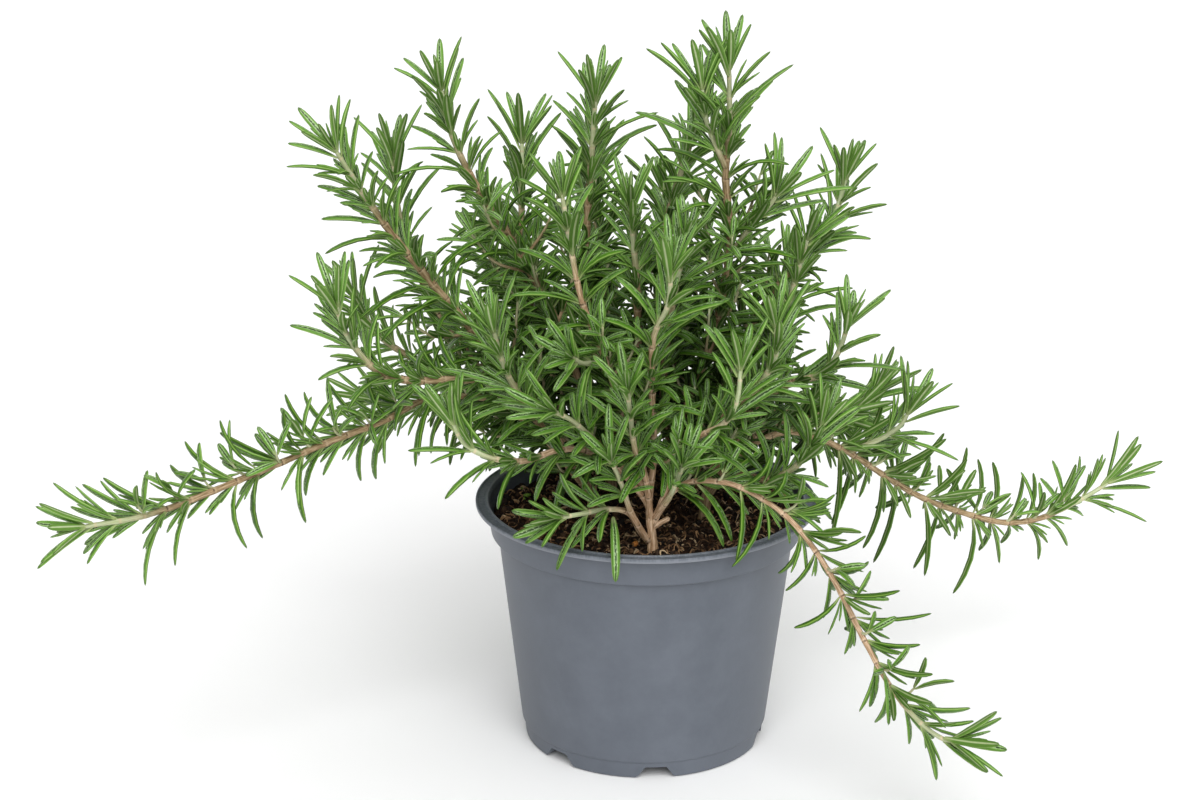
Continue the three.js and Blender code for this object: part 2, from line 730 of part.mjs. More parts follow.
function layOut(stem, owner) {
  const fork = vector(stem.start ?? TRUNKS[stem.trunk].fork);
  const curve = curveThrough([fork, ...stem.wood.map(vector), ...stem.leafy.map(vector)]);
  const woodEnd = lengthAt(curve, stem.wood.length);
  const shootRun = (points) => {
    const shoot = curveThrough(points.map(vector));
    return new Run(shoot, 0, shoot.getLength(), STEM_STEP);
  };
  return {
    name: stem.name,
    trunk: stem.trunk,
    owner,
    growth: stem.growth ?? 1,
    wood: new Run(curve, FORK_OVERLAP / 2, woodEnd, WOOD_STEP),
    leafy: new Run(curve, woodEnd + BUTT_GAP, curve.getLength(), STEM_STEP),
    shoots: (stem.shoots ?? []).map(shootRun),
    needles: [],
  };
}

function takeRun(run, owner) {
  for (let distance = 0; distance <= run.length; distance += SAMPLE_STEP) {
    taken.push({ point: run.at(distance).point, owner, isStem: true });
  }
}

function growNeedles(plants) {
  const runs = plants.flatMap((plant) => [plant.leafy, ...plant.shoots].map((run) => ({ plant, run })));
  for (const { plant, run } of runs) {
    takeRun(run, plant.owner);
  }
  for (const { plant, run } of runs) {
    plant.needles.push(...tuft(run, plant.owner, plant.growth).filter(Boolean));
  }
  for (const { plant, run } of runs) {
    plant.needles.push(...whorls(run, plant.owner, plant.growth).filter(Boolean));
  }
}

function makeTrunk(name, plants) {
  const trunk = TRUNKS[name];
  const bottom = new THREE.Vector3(trunk.foot[X], trunk.foot[Y], SOIL_LEVEL - HOLE_DEPTH + CLEARANCE);
  const ground = new THREE.Vector3(trunk.foot[X], trunk.foot[Y], SOIL_LEVEL);
  const crown = vector(trunk.fork).add(new THREE.Vector3(0, 0, FORK_OVERLAP));
  const foot = curveThrough([bottom, ground, crown]);
  const footRun = new Run(foot, 0, foot.getLength(), WOOD_STEP);
  const pieces = [tube(footRun, TRUNK_FOOT_RADIUS, TRUNK_RADIUS, TRUNK_SIDES)];
  for (const { wood } of plants) {
    pieces.push(tube(wood, WOOD_RADIUS, STEM_RADIUS, TRUNK_SIDES));
  }
  return mainBody(joined(pieces));
}

function makeStem({ leafy, shoots, needles }) {
  const pieces = [tube(leafy, STEM_RADIUS, TIP_RADIUS, STEM_SIDES)];
  for (const shoot of shoots) {
    pieces.push(tube(shoot, STEM_RADIUS * SHOOT_SHARE, TIP_RADIUS, STEM_SIDES));
  }
  pieces.push(...needles.map(needleSolid));
  return mainBody(joined(pieces));
}

function makePlant(group) {
  const plants = STEMS.map(layOut);
  for (const { wood } of plants) {
    takeRun(wood, WOOD_OWNER);
  }
  growNeedles(plants);
  for (const name of Object.keys(TRUNKS)) {
    addMesh(group, `trunk_${name}`, makeTrunk(name, plants.filter((plant) => plant.trunk === name)), BARK);
  }
  for (const plant of plants) {
    addMesh(group, `stem_${plant.name}`, makeStem(plant), LEAF);
  }
}

function addMesh(group, name, solid, material) {
  const mesh = new THREE.Mesh(geometryOf(solid), material);
  mesh.name = name;
  group.add(mesh);
}

const rosemary = new THREE.Group();
addMesh(rosemary, "pot", makePot(), PLASTIC);
addMesh(rosemary, "soil", makeSoil(), SOIL);
makePlant(rosemary);

export default rosemary;
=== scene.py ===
# A potted rosemary's finished looks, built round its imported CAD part.
# Lengths are in millimetres until a mesh is made, and dimensions have the names that the CAD gives them.

import math
from collections import namedtuple
from itertools import product

import bpy
import numpy as np
from mathutils import Matrix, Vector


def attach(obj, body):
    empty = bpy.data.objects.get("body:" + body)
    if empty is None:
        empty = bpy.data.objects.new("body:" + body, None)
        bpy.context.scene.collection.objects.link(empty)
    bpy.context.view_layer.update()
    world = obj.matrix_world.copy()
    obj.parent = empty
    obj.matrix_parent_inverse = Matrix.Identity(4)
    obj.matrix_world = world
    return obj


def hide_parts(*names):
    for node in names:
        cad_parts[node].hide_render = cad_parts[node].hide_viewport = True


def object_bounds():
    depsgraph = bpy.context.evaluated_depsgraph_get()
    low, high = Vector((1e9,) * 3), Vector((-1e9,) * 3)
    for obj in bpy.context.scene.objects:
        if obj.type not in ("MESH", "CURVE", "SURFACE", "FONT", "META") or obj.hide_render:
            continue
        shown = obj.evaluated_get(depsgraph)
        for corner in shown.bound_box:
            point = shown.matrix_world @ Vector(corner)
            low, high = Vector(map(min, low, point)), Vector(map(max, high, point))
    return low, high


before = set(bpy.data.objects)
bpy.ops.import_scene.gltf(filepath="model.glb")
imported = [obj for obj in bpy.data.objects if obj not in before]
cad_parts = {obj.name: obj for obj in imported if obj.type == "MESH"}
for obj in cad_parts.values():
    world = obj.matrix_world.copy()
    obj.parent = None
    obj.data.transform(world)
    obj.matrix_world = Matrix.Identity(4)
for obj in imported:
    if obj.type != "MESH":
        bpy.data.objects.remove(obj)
FRAME_LOW, FRAME_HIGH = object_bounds()

MM = 0.001
MAP_MARGIN = 0.04

# The pot

RIM_RADIUS = 65
POT_HEIGHT = 96
RIM_WIDTH = 4.4
RIM_THICKNESS = 1.5
COLLAR_BOTTOM = 83
COLLAR_STEP = 2.6
BODY_TOP_RADIUS = 56.5
BODY_BOTTOM_RADIUS = 47.5
WALL = 1.4
FOOT_HEIGHT = 7
FOOT_RADIUS = 46
FOOT_WIDTH = 5.5
FOOT_DRAFT = 0.7
RIM_INNER_BEVEL = 1.1
RIM_EDGE_BEVEL = 0.3
RIM_BEAD = 0.9
RIM_CHANNEL_DEPTH = 0.4
RIM_LIP = 0.25
FLOOR_UNDERSIDE = 5.4
FLOOR_TOP = 7.2
POT_SIDES = 192
FILLET_STEPS = 4

NOTCH_PAIRS = 3
NOTCH_PAIR_TURN = -20
NOTCH_PAIR_SPREAD = 25
NOTCH_WIDTH = 14.5
NOTCH_ROOF_WIDTH = 8
NOTCH_HEIGHT = 4.6
NOTCH_REACH = 8
NOTCH_INWARD = 6
NOTCH_BELOW = 0.5
NOTCH_CORNER = 0.9
DRAIN_HOLE_RADIUS = 3.5
DRAIN_RING_RADIUS = 26
DRAIN_HOLES = 6
DRAIN_HOLE_SIDES = 24
POT_SHARP_DEGREES = 38

# The soil

CLEARANCE = 0.4
SOIL_LEVEL = 89.5
SOIL_CROWN = 1.5
SOIL_RELIEF = 1.3
SOIL_SECTORS = 240
SOIL_RINGS = 92
TRUNK_MOUND_SPREAD = 30
TRUNK_MOUND_SHARE = 0.7
BIT_TONES = 3
FIBRE_POINTS = 9
FIBRE_STEP = 0.75
FIBRE_CURL = 8
FIBRE_LIFT = 1.3
FIBRE_SIDES = 4
FIBRE_RADIUS = 0.2
FIBRE_RADIUS_SPREAD = 0.2
CRUMB_STRETCH = 0.55
CRUMB_STRETCH_SPREAD = 0.75
CRUMB_JITTER = 0.35
GROUND_SEED = 7
BITS_SEED = 11

# Each kind of bit on the soil: how many, the smallest, how much larger, and how often it has each colour
CRUMBS = (900, 0.5, 1.1, {0: 0.3, 1: 0.35, 2: 0.25, 3: 0.1})
LIGHT_GRAINS = (90, 0.35, 0.5, {4: 0.5, 5: 0.35, 6: 0.15})
FIBRES = (1700, 2.4, 5, {1: 0.14, 2: 0.2, 3: 0.32, 4: 0.24, 5: 0.1})

# The plant

TRUNK_FOOT_RADIUS = 2.3
TRUNK_RADIUS = 1.9
WOOD_RADIUS = 1.6
STEM_RADIUS = 1.4
TIP_RADIUS = 0.75
THICKENING_LENGTH = 55
SHOOT_RADIUS = 0.7
SHOOT_TIP_RADIUS = 0.4
TRUNK_SIDES = 16
STEM_SIDES = 9
SHOOT_SIDES = 6
BUTT_GAP = 0.3
CURVE_DIVISIONS = 40
STEM_STEP = 1.8
TRUNK_STEP = 1
SHOOT_STEP = 2.5
FORK_OVERLAP = 4
HOLE_DEPTH = 22
STEEP = 0.9
NODE_SWELLING = 0.16
NODE_REACH = 1.3
STEM_RIDGES = 0.05
TRUNK_RIDGES = 0.12
TRUNK_FLARE = 0.35
TRUNK_FLARE_REACH = 3.5
OWN_SHOOT_THICKNESS = 0.8
TRAILING_THICKNESS = 0.84
FRONT_THINNING = 0.84
BROWNING = (14, 36)
SHOOT_BROWNING = (-6, 26)
ALL_BROWN = (-2, -1)

# The rows of the bark's map, and the seeds of its relief
WOOD_ROW = (0, 0.8)
OWN_SHOOT_ROW = (0.8, 0.82)
SHOOT_ROW = (0.82, 1)
TRUNK_SEED = 100
SEEDS_A_TRUNK = 50
STUB_SEED = 40
OWN_SHOOT_SEED = 300

NEEDLE_LENGTH = 25
NEEDLE_WIDTH = 3.05
NODE_SPACING = 7.5
WIDE_SPACING = 9
FRONT_WIDENING = 1.12
WIDTH_RANGE = (0.88, 1.12)
DRAWN_RANGE = (0.7, 1.3)
DROOPING_LEAFY_FROM = 0.4
TRAILING_LEAN = 1.2
TRAILING_BALANCE = 0.35
TRAILING_BACK_LEAN = 1.1
FIRST_NODE = 3.75
LAST_NODE = 5
TUFT_NEEDLES = 5
TUFT_SETBACK = 1.5
INNER_TUFT_NEEDLES = 5
INNER_TUFT_SETBACK = 0.4
YOUNG_LENGTH = 60
NEWEST_REACH = 20
NEWEST_LENGTH = 0.86

# A needle's age runs from 0 to 1 between two distances from the tip, with more inside and in front
AGEING = (-20, 85)
# More age inside darkens the needles there, which partly paints the shade deep in the bush
AGE_INSIDE = 0.4
AGE_SPREAD = 0.22
AGE_IN_FRONT = 0.25
TUFT_AGE = 0.15
PLACED_AGE = 0.35
# A needle's shade is painted shade by its depth in the bush, mixed with a random tone
SHADE_BY_DEPTH = 0.7

# How far needles open from the stem's direction, in radians, and how much they then bend back
TUFT_OPENING = 0.24
TUFT_OPENING_SPREAD = 0.35
TUFT_BEND = 0.22
TUFT_DROOP = 0.02
TUFT_NARROWING = 0.96
YOUNG_OPENING = 0.42
MATURE_OPENING = 0.84
OPENING_SPREAD = 0.3
YOUNG_BEND = 0.4
MATURE_BEND = 0.85
TURN_SPREAD = 0.12
DROOP = 0.16
SWAY = 0.3

TUFT_SHORTEST = 0.68
TUFT_LENGTH_SPREAD = 0.22
WHORL_SHORTEST = 0.76
WHORL_LENGTH_SPREAD = 0.4

# Small leaves at the tips and in the needles' axils: the least length, width and opening of each kind, and
# how much more each can be
Leaf = namedtuple("Leaf", "length longer width wider opening more_open bend droop age")
INNER_TUFT = Leaf(8, 9, 1.3, 0.8, 0.05, 0.2, 0.15, 0.02, 0)
AXIL_LEAF = Leaf(6, 10, 1.66, 0.6, 0.2, 0.55, 0.35, 0.03, 0.3)
SECOND_LEAF = Leaf(11, 9, 2.2, 0.4, 0.4, 0.4, 0.5, 0.05, 0.35)
AXIL_LEAVES = 4
AXIL_LEAVES_IN_FRONT = 2
AXIL_RISE = 4
AXIL_SETBACK = 0.8
AXIL_OWN_SHARE = 0.7
AXIL_TURN_SPREAD = 1.4
SECOND_ASIDE = 0.75

# Short side shoots on the woody and older runs: how far apart, how long and how far from the stem's tip they
# grow, and how long and wide their needles are. A trailing stem's stand on its upper side.
Habit = namedtuple("Habit", "spacing shortest spread from_tip needle needle_spread width")
BUSHY = Habit(5.5, 13, 19, 58, 9, 8, 0.8)
UPWARD = Habit(13, 3, 5, 20, 13, 9, 0.92)
UPWARD_SPREAD = 1.8
BUSHY_SPREAD = 0.8
SHOOTS_BEGIN = 10
SHOOT_OPENING = 0.9
SHOOT_RISE = 0.8
SHOOT_SETBACK = 0.6
SHOOT_NODE_SPACING = 3.6
SHOOT_REACH = 66
SHOOT_OWN_SHARE = 0.5
SHOOT_NEEDLE_OPENING = 0.62
SHOOT_INNER_OPENING = 0.25
SHOOT_INNER_LENGTH = 0.8
SHOOT_NEEDLE_BEND = 0.5
SHOOT_NEEDLE_DROOP = 0.06
SHOOT_AGES = (0.3, 0.8)
SHOOT_AGEING_LENGTH = 25
SHOOT_LEAST_HEIGHT = 104
SHOOT_LEAST_HEIGHT_IN_FRONT = 122
GOLDEN_TURN = 2.4

# The room that needles leave
CELL = 4
LEAST_SPACE = 1.5
LEAST_SPACE_SMALL = 1
LEAST_SPACE_TINY = 0.5
FLOOR_SPACE = 2.5
POT_SPACE = 1.4
SOIL_SPACE = 1.2
BOX_LOW = np.array(FRAME_LOW) / MM + 1
BOX_HIGH = np.array(FRAME_HIGH) / MM - 1
STEM_SAMPLE_STEP = 2
ROOT_SHARE = 0.35
SAMPLE_SHARES = np.array([0.15, 0.35, 0.5, 0.65, 0.8, 0.92, 1.0])
TRIED_TURNS = (0, 0.3, -0.3, 0.6, -0.6)
TRIED_LENGTHS = (1, 0.84, 0.68)

# How many ages and shades needles are drawn in
AGES = 8
SHADES = 4

# The dense part of the bush, and the shares of its reach between which it thins out; needles get painted
# shade by their depth in it
BUSH_MIDDLE = np.array([0, 0, 120])
BUSH_REACH = np.array([85, 62, 85])
BUSH_EDGE = (0.3, 0.95)

# A needle's cut: how far round each corner is, and its place across and up in half-widths.
# The upper face has a groove between two rounded rows; the edges roll down and a rib runs below.
FINE_CUT = np.array([
    (0, 1, -0.14), (0.12, 0.56, 0.38), (0.25, 0, 0.16), (0.38, -0.56, 0.38),
    (0.5, -1, -0.14), (0.64, -0.6, -0.54), (0.75, 0, -0.34), (0.86, 0.6, -0.54),
])
PLAIN_CUT = np.array([
    (0, 1, -0.1), (0.16, 0.5, 0.34), (0.34, -0.5, 0.34),
    (0.5, -1, -0.1), (0.66, -0.5, -0.5), (0.84, 0.5, -0.5),
])

# Where along a needle it is cut, and how wide it is along its length
FINE_SHARES = [0.04, 0.16, 0.34, 0.54, 0.74, 0.88, 0.965]
MIDDLE_SHARES = [0.05, 0.26, 0.52, 0.78, 0.95]
PLAIN_SHARES = [0.07, 0.4, 0.74, 0.94]
WIDTH_AT = ([0, *FINE_SHARES, 1], [0.3, 0.4, 0.66, 0.92, 1, 0.95, 0.76, 0.46, 0.2])

# Each kind of draw has its own number; the first seven are the CAD's
DRAW = {name: number for number, name in enumerate([
    "tuft_turn", "tuft_opening", "tuft_length", "node_turn", "node_opening", "node_length", "soil",
    "width", "sway", "age", "shade", "bend", "axil_turn", "axil_opening", "axil_length", "axil_count",
    "shoot", "shoot_length", "shoot_turn", "shoot_opening", "shoot_needle", "inner_tuft", "bark",
    "second_length", "second_turn", "second_opening",
], start=1)}

TRUNKS = {
    "front": {"foot": (2, -43), "fork": (1, -43, 99)},
    "left": {"foot": (-20, -8), "fork": (-21, -8, 100)},
    "right": {"foot": (22, -10), "fork": (23, -10, 100)},
    "back_left": {"foot": (-13, 20), "fork": (-14, 21, 100)},
    "back_right": {"foot": (15, 22), "fork": (16, 23, 100)},
}

# The corners of each leafy stem of each trunk: two of its bare woody run, then those of its leafy run
WOOD_CORNERS = 2
STEMS = {
    "front": {
        "front_low": [(-2.5, -45, 99), (-7, -48, 107.5), (-15, -56, 112), (-25, -64, 113), (-32, -70, 114)],
        "front_centre_tall": [
            (0.3, -43, 110), (-3, -42, 128), (-10, -41, 146), (-17, -44, 168), (-25, -46, 190),
            (-31.5, -45, 226)],
        "front_centre": [
            (0.5, -43, 110), (2, -45, 130), (1, -49, 152), (1, -53, 175), (6, -57, 189), (7, -58, 202)],
        "left_low": [
            (0, -43, 110), (-6, -43.5, 122), (-22, -44, 130), (-33, -49, 132), (-45, -55, 130),
            (-57, -60, 133), (-66, -62, 139), (-70, -62, 147)],
        "front_right": [
            (4, -43.5, 107), (9.5, -45, 123), (17, -53, 138), (27, -58, 146), (31, -61, 156),
            (32, -62, 168)],
        "right_drooping": [
            (4, -43.5, 107), (13, -48, 119), (28, -55, 122), (42, -60, 117), (54, -65, 108),
            (66, -72, 92), (77, -80, 72), (87, -88, 56), (97, -92, 45), (105, -95, 40), (109, -96, 40)],
        "front_rosette_left": [
            (0, -43.3, 109), (-7, -47, 120), (-19, -57, 138), (-27, -64, 148), (-34, -70, 154)],
        "front_rosette_middle": [
            (0.5, -43.8, 109), (-1, -50, 122), (-5, -61, 136), (-7, -68, 152), (-8, -73, 163)],
        "front_rosette_low": [(-2, -45.5, 99), (-6.5, -52, 110), (-10, -61, 124), (-14, -69, 136)],
        "front_rosette_right": [(3.8, -44, 106), (7.5, -52, 115), (9, -60, 122), (12, -69, 134)],
    },
    "left": {
        "left_upper": [
            (-27, -7, 112), (-38, -7, 128), (-50, -8, 144), (-65, -10, 165), (-80, -14, 185),
            (-95, -18, 206), (-107, -22, 226), (-113, -24, 237)],
        "left_middle": [
            (-26, -13, 112), (-35, -20, 132), (-51, -26, 150), (-71, -32, 153), (-86, -36, 154),
            (-97, -40, 158), (-105, -42, 167), (-110, -44, 177), (-112, -44, 185)],
        "left_trailing": [
            (-28, -10, 110), (-41, -13, 127), (-56, -14, 139), (-80, -20, 142), (-98, -30, 136),
            (-117, -42, 132), (-136, -54, 127), (-174, -74, 117), (-199, -87, 116)],
        "left_inner": [(-24, -16, 110), (-31, -27, 122), (-42, -39, 142), (-51, -46, 160), (-56, -48, 177)],
        "left_back": [
            (-30, -2, 110), (-43, 8, 121), (-62, 22, 130), (-84, 36, 136), (-104, 44, 146),
            (-114, 48, 161)],
    },
    "right": {
        "right_middle": [
            (26, -13, 112), (33, -17, 128), (42, -20, 142), (54, -26, 151), (63, -29, 155),
            (69, -31, 164), (72, -32, 175)],
        "right_trailing": [
            (29, -9, 110), (40, -5, 119), (53, 4, 121), (66, 12, 116), (80, 22, 106), (95, 32, 93),
            (110, 42, 81), (127, 52, 71), (146, 61, 63), (162, 68, 62), (176, 74, 66), (187, 78, 71),
            (192, 80, 74)],
        "right_low": [
            (27, -15, 108), (34, -23, 114), (44, -35, 116), (53, -42, 123), (59, -44, 132),
            (63, -44, 141)],
        "right_front": [
            (24, -15, 112), (24, -25, 125), (26, -34, 138), (34, -40, 148), (40, -44, 156),
            (45, -46, 167), (45, -46, 179)],
        "right_back": [
            (31, -5, 110), (44, 7, 121), (60, 20, 122), (74, 31, 119), (83, 37, 119), (90, 40, 125)],
        "right_inner": [
            (28, -8, 113), (38, -7, 130), (45, -7, 150), (51.6, -6, 171.7), (56, -4, 190),
            (58.7, -4, 200)],
    },
    "back_left": {
        "left_upper_back": [
            (-24, 23, 112), (-38, 25, 121), (-58, 27, 131), (-80, 32, 160), (-91, 36, 183),
            (-96, 38, 203), (-97, 40, 219)],
        "left_tall": [
            (-16, 16, 112), (-19, 8, 123), (-24, 1, 137), (-33, 4, 162), (-52, 8, 197),
            (-65, 10, 217), (-73, 12, 234), (-77, 12, 252)],
        "left_slim": [
            (-18, 24, 112), (-25, 29, 122), (-34, 34, 134), (-45, 38, 160), (-48, 40, 192),
            (-48, 42, 225)],
        "centre_tall": [
            (-13, 22, 113), (-14, 26, 124), (-18, 31, 138), (-23, 35, 165), (-23, 38, 194),
            (-21.5, 40, 218), (-20, 40, 242)],
        "centre_inner": [(-10, 16, 112), (-6, 8, 124), (-4, 0, 144), (-4, -8, 176), (-7, -12, 214)],
        "back_left_middle": [(-20, 28, 110), (-28, 40, 120), (-40, 56, 136), (-52, 69, 152), (-62, 78, 172)],
        "back_left_tall": [
            (-14, 28, 112), (-13, 39, 124), (-14, 54, 146), (-18, 67, 170), (-20, 75, 194),
            (-20, 79, 212)],
        "back_left_low": [
            (-24, 29, 107), (-37, 41, 112), (-56, 57, 115), (-76, 70, 112), (-96, 80, 106),
            (-112, 85, 106)],
    },
    "back_right": {
        "right_tall": [
            (15, 16, 112), (14, 5, 124), (16, -4, 138), (24, -6, 160), (28, -6, 182), (30, -6, 199),
            (28, -4, 222), (29, -3, 242), (28.5, -2, 263)],
        "right_back_tall": [
            (14, 25, 112), (12, 28, 126), (12, 31, 154), (7, 34, 188), (11, 36, 208), (15, 38, 221),
            (19, 38, 234)],
        "right_upper": [
            (20, 18, 112), (24, 12, 123), (28, 7, 138), (38, 10, 158), (48, 14, 174), (59, 16, 186),
            (68, 18, 198), (72, 20, 207), (74, 20, 217)],
        "right_centre_inner": [(12, 17, 112), (7, 7, 123), (6, -4, 142), (8, -15, 172), (13, -22, 203)],
        "back_right_middle": [(23, 29, 110), (31, 41, 120), (42, 56, 136), (51, 69, 152), (57, 78, 168)],
        "back_right_tall": [
            (15, 30, 112), (14, 41, 124), (14, 56, 146), (12, 68, 166), (9, 75, 184), (7, 79, 197)],
        "back_right_low": [(27, 29, 107), (40, 42, 111), (58, 60, 111), (75, 75, 104), (92, 88, 96)],
        "back_drooping": [(10, 31, 108), (4, 44, 114), (0, 60, 117), (-3, 78, 109), (-5, 95, 97)],
    },
}

# The side shoots of some stems, the stems with longer needles, and those that leave the front trunk low down
SIDE_SHOOTS = {
    "front_centre_tall": [[(-14.8, -43, 161), (-19, -49, 165), (-24, -55, 167), (-27.6, -61, 171)]],
    "right_trailing": [[(78, 21, 107), (91, 20, 113), (98, 18, 119), (101, 17, 125)]],
    "right_tall": [
        [(28, -4, 226), (24, -6, 235), (20, -8, 246), (18.5, -8, 257)],
        [(29.3, -6, 193), (36.7, -7, 203.4), (44.4, -9.5, 214), (46.5, -10, 218)],
    ],
}
GROWTH = {
    "left_upper": 1.1, "right_trailing": 1.15, "left_upper_back": 1.1, "left_slim": 1.1, "centre_tall": 1.15,
    "right_tall": 1.25,
}
LOW_BRANCH = (1.5, -43.3, 93.5)
LOW_STEMS = ("front_low", "front_rosette_low")
TRAILING_STEMS = ("left_trailing", "right_trailing", "right_drooping")
DROOPING_STEM = "right_drooping"

# A needle that hangs from the low front stem over the rim
PLACED_STEM = "front_low"
PLACED_ROOT = (-12.8, -52.5, 108)
PLACED_TIP = (-11.3, -71, 89.6)
PLACED_WIDTH = 3.4
PLACED_BEND = 1.3

# The cut end beside the front trunk's fork
STUB = [(2, -43, 100), (5, -43.3, 102.2), (7.6, -43.6, 103.8)]
STUB_RADIUS = 1.05

# Colours as they look in plain light, 0 to 255, apart from the painted light and shade marked below

POT_GREY = (98, 104, 114)
POT_GREY_DARK = (88, 94, 104)
# Painted shade in the creases of the pot's outside
POT_PAINTED_SHADE = (58, 58, 60)
# Painted highlights on the rim's edges, and lighter streaks on its top
POT_HIGHLIGHT_AND_STREAK = (146, 150, 158)
SOIL_DARK = (20, 12, 8)
SOIL_BROWN = (58, 37, 24)
SOIL_LIGHT = (112, 78, 50)

# Bark: its dark, brown and light wood
BARK = ((104, 82, 54), (164, 138, 102), (206, 182, 148))
# A lighter copy of the bark for the front trunk and its stems, which paints the light that falls on them
LIT_FRONT_BARK = ((130, 98, 68), (190, 156, 122), (238, 210, 180))
BARK_SCAR = (76, 56, 36)
BARK_GREEN = (176, 188, 136)
BARK_PALE = (206, 214, 178)

# Needles: the groove, row, body and margin of the upper face, and the rib and body of the lower
# The rows' pale colour partly paints a glossy highlight, and the lower body's dark green partly paints shade
YOUNG = ((55, 97, 23), (176, 207, 142), (107, 157, 56), (167, 198, 118), (192, 206, 158), (100, 140, 56))
MATURE = ((26, 61, 4), (124, 166, 78), (64, 111, 11), (120, 155, 55), (136, 156, 94), (57, 96, 13))
# Deep green: painted shade inside the bush, and the dark dashes in the groove
DEEP_GREEN = (11, 30, 0)
NEEDLE_BASE = (196, 206, 146)
NEEDLE_TIP = (66, 98, 28)
# Painted highlight: the pale glints speckled on the needles' rows
SPECKLE_GLINT = (204, 224, 186)
BIT_COLOURS = (
    (20, 13, 9), (44, 31, 22), (70, 50, 34), (116, 86, 58),
    (164, 128, 92), (206, 178, 142), (204, 130, 60), (120, 158, 62),
)
BIT_KINDS = len(BIT_COLOURS)
FLOOR_WHITE = (252, 252, 252)


# Small helpers

def linear(colour):
    """A plain-light colour as the shader's linear red, green, blue and alpha."""
    shares = np.array(colour) / 255
    values = np.where(shares <= 0.04045, shares / 12.92, ((shares + 0.055) / 1.055) ** 2.4)
    return (*values.tolist(), 1)


def lerp(low, high, share):
    return low + (high - low) * share


def smoothstep(value, low, high):
    share = np.clip((value - low) / (high - low), 0, 1)
    return share * share * (3 - 2 * share)


def unit(vectors):
    return vectors / np.linalg.norm(vectors, axis=-1, keepdims=True)


def chance(a, b, kind):
    """The CAD's repeatable number from 0 to 1 for two whole numbers and a kind of draw."""
    mask = 0xFFFFFFFF
    bits = (a + 1) * 0x9E3779B1 ^ (b + 1) * 0x85EBCA6B ^ (DRAW[kind] + 1) * 0xC2B2AE35
    bits &= mask
    bits = (bits ^ bits >> 15) * 0x2C1B3C6D & mask
    bits = (bits ^ bits >> 12) * 0x297A2D39 & mask
    bits ^= bits >> 15
    return bits / (mask + 1)


# Meshes

class Sleeve:
    """The faces of a closed tube: rings of corners between two end points.

    Each face corner also says how far round and how far along the tube it is, from 0 to 1."""

    def __init__(self, rounds, alongs):
        sides, rings = len(rounds), len(alongs)
        corner = np.arange(sides)
        following = (corner + 1) % sides
        ring = np.arange(rings - 1)[:, None] * sides
        start, end = rings * sides, rings * sides + 1
        last = (rings - 1) * sides
        near = np.asarray(rounds, float)
        far = np.append(near[1:], 1)
        middle = (near + far) / 2
        here, beyond = ring + corner, ring + following
        self.quads = np.stack([here, beyond, beyond + sides, here + sides], -1).reshape(-1, 4)
        self.triangles = np.concatenate([
            np.stack([following, corner, np.full(sides, start)], -1),
            np.stack([last + corner, last + following, np.full(sides, end)], -1),
        ])
        low, high = np.asarray(alongs[:-1])[:, None], np.asarray(alongs[1:])[:, None]
        turn = np.broadcast_to(np.stack([near, far, far, near], -1), (rings - 1, sides, 4))
        along = np.broadcast_to(np.stack([low, low, high, high], -1), (rings - 1, sides, 4))
        self.quad_places = np.stack([turn, along], -1).reshape(-1, 4, 2)
        begin = np.stack([far, near, middle], -1)
        finish = np.stack([near, far, middle], -1)
        begin_along = np.tile([alongs[0], alongs[0], 0], (sides, 1))
        finish_along = np.tile([alongs[-1], alongs[-1], 1], (sides, 1))
        self.triangle_places = np.concatenate([
            np.stack([begin, begin_along], -1),
            np.stack([finish, finish_along], -1),
        ])


class Piece:
    """One piece's mesh, gathered from many parts."""

    def __init__(self, name):
        self.name = name
        self.count = 0
        self.points = []
        self.quads = []
        self.triangles = []
        self.layers = {}

    def add(self, points, faces, layers, offsets=0):
        """Adds the quads and triangles of those faces, once for each offset into the points.

        Each layer is a pair of arrays: the values at the quads' corners and at the triangles'."""
        self.points.append(points.reshape(-1, 3))
        self.quads.append((faces.quads + offsets).reshape(-1, 4) + self.count)
        self.triangles.append((faces.triangles + offsets).reshape(-1, 3) + self.count)
        for name, (at_quads, at_triangles) in layers.items():
            kept = self.layers.setdefault(name, ([], []))
            kept[0].append(at_quads.reshape(-1, at_quads.shape[-1]))
            kept[1].append(at_triangles.reshape(-1, at_triangles.shape[-1]))
        self.count += self.points[-1].shape[0]

    def build(self, material):
        quads = np.concatenate(self.quads)
        triangles = np.concatenate(self.triangles)
        corners = np.concatenate([quads.ravel(), triangles.ravel()])
        sizes = np.concatenate([np.full(len(quads), 4), np.full(len(triangles), 3)])
        mesh = bpy.data.meshes.new(self.name)
        mesh.vertices.add(self.count)
        mesh.vertices.foreach_set("co", (np.concatenate(self.points) * MM).astype(np.float32).ravel())
        mesh.loops.add(len(corners))
        mesh.loops.foreach_set("vertex_index", corners.astype(np.int32))
        mesh.polygons.add(len(sizes))
        mesh.polygons.foreach_set("loop_start", (np.cumsum(sizes) - sizes).astype(np.int32))
        mesh.update(calc_edges=True)
        for name, (at_quads, at_triangles) in self.layers.items():
            values = np.concatenate(at_quads + at_triangles).astype(np.float32)
            if name == "OFBake":
                mesh.uv_layers.new(name=name).data.foreach_set("uv", values.ravel())
            else:
                attribute = mesh.attributes.new(name, "FLOAT_VECTOR", "CORNER")
                attribute.data.foreach_set("vector", values.ravel())
        mesh.shade_smooth()
        mesh.materials.append(material)
        return put_in_scene(self.name, mesh)


def put_in_scene(name, data):
    thing = bpy.data.objects.new(name, data)
    bpy.context.scene.collection.objects.link(thing)
    return thing


def in_cell(places, column, columns, low, high):
    """Places in the unit square, moved into one column of a map between two heights."""
    inner = MAP_MARGIN + (1 - 2 * MAP_MARGIN) * places
    across = (column + inner[..., 0]) / columns
    up = lerp(low, high, inner[..., 1])
    return np.stack([across, up], -1)


def mount(piece, slot, *nodes):
    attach(piece, "root")
    if nodes:
        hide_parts(*nodes)


# Materials

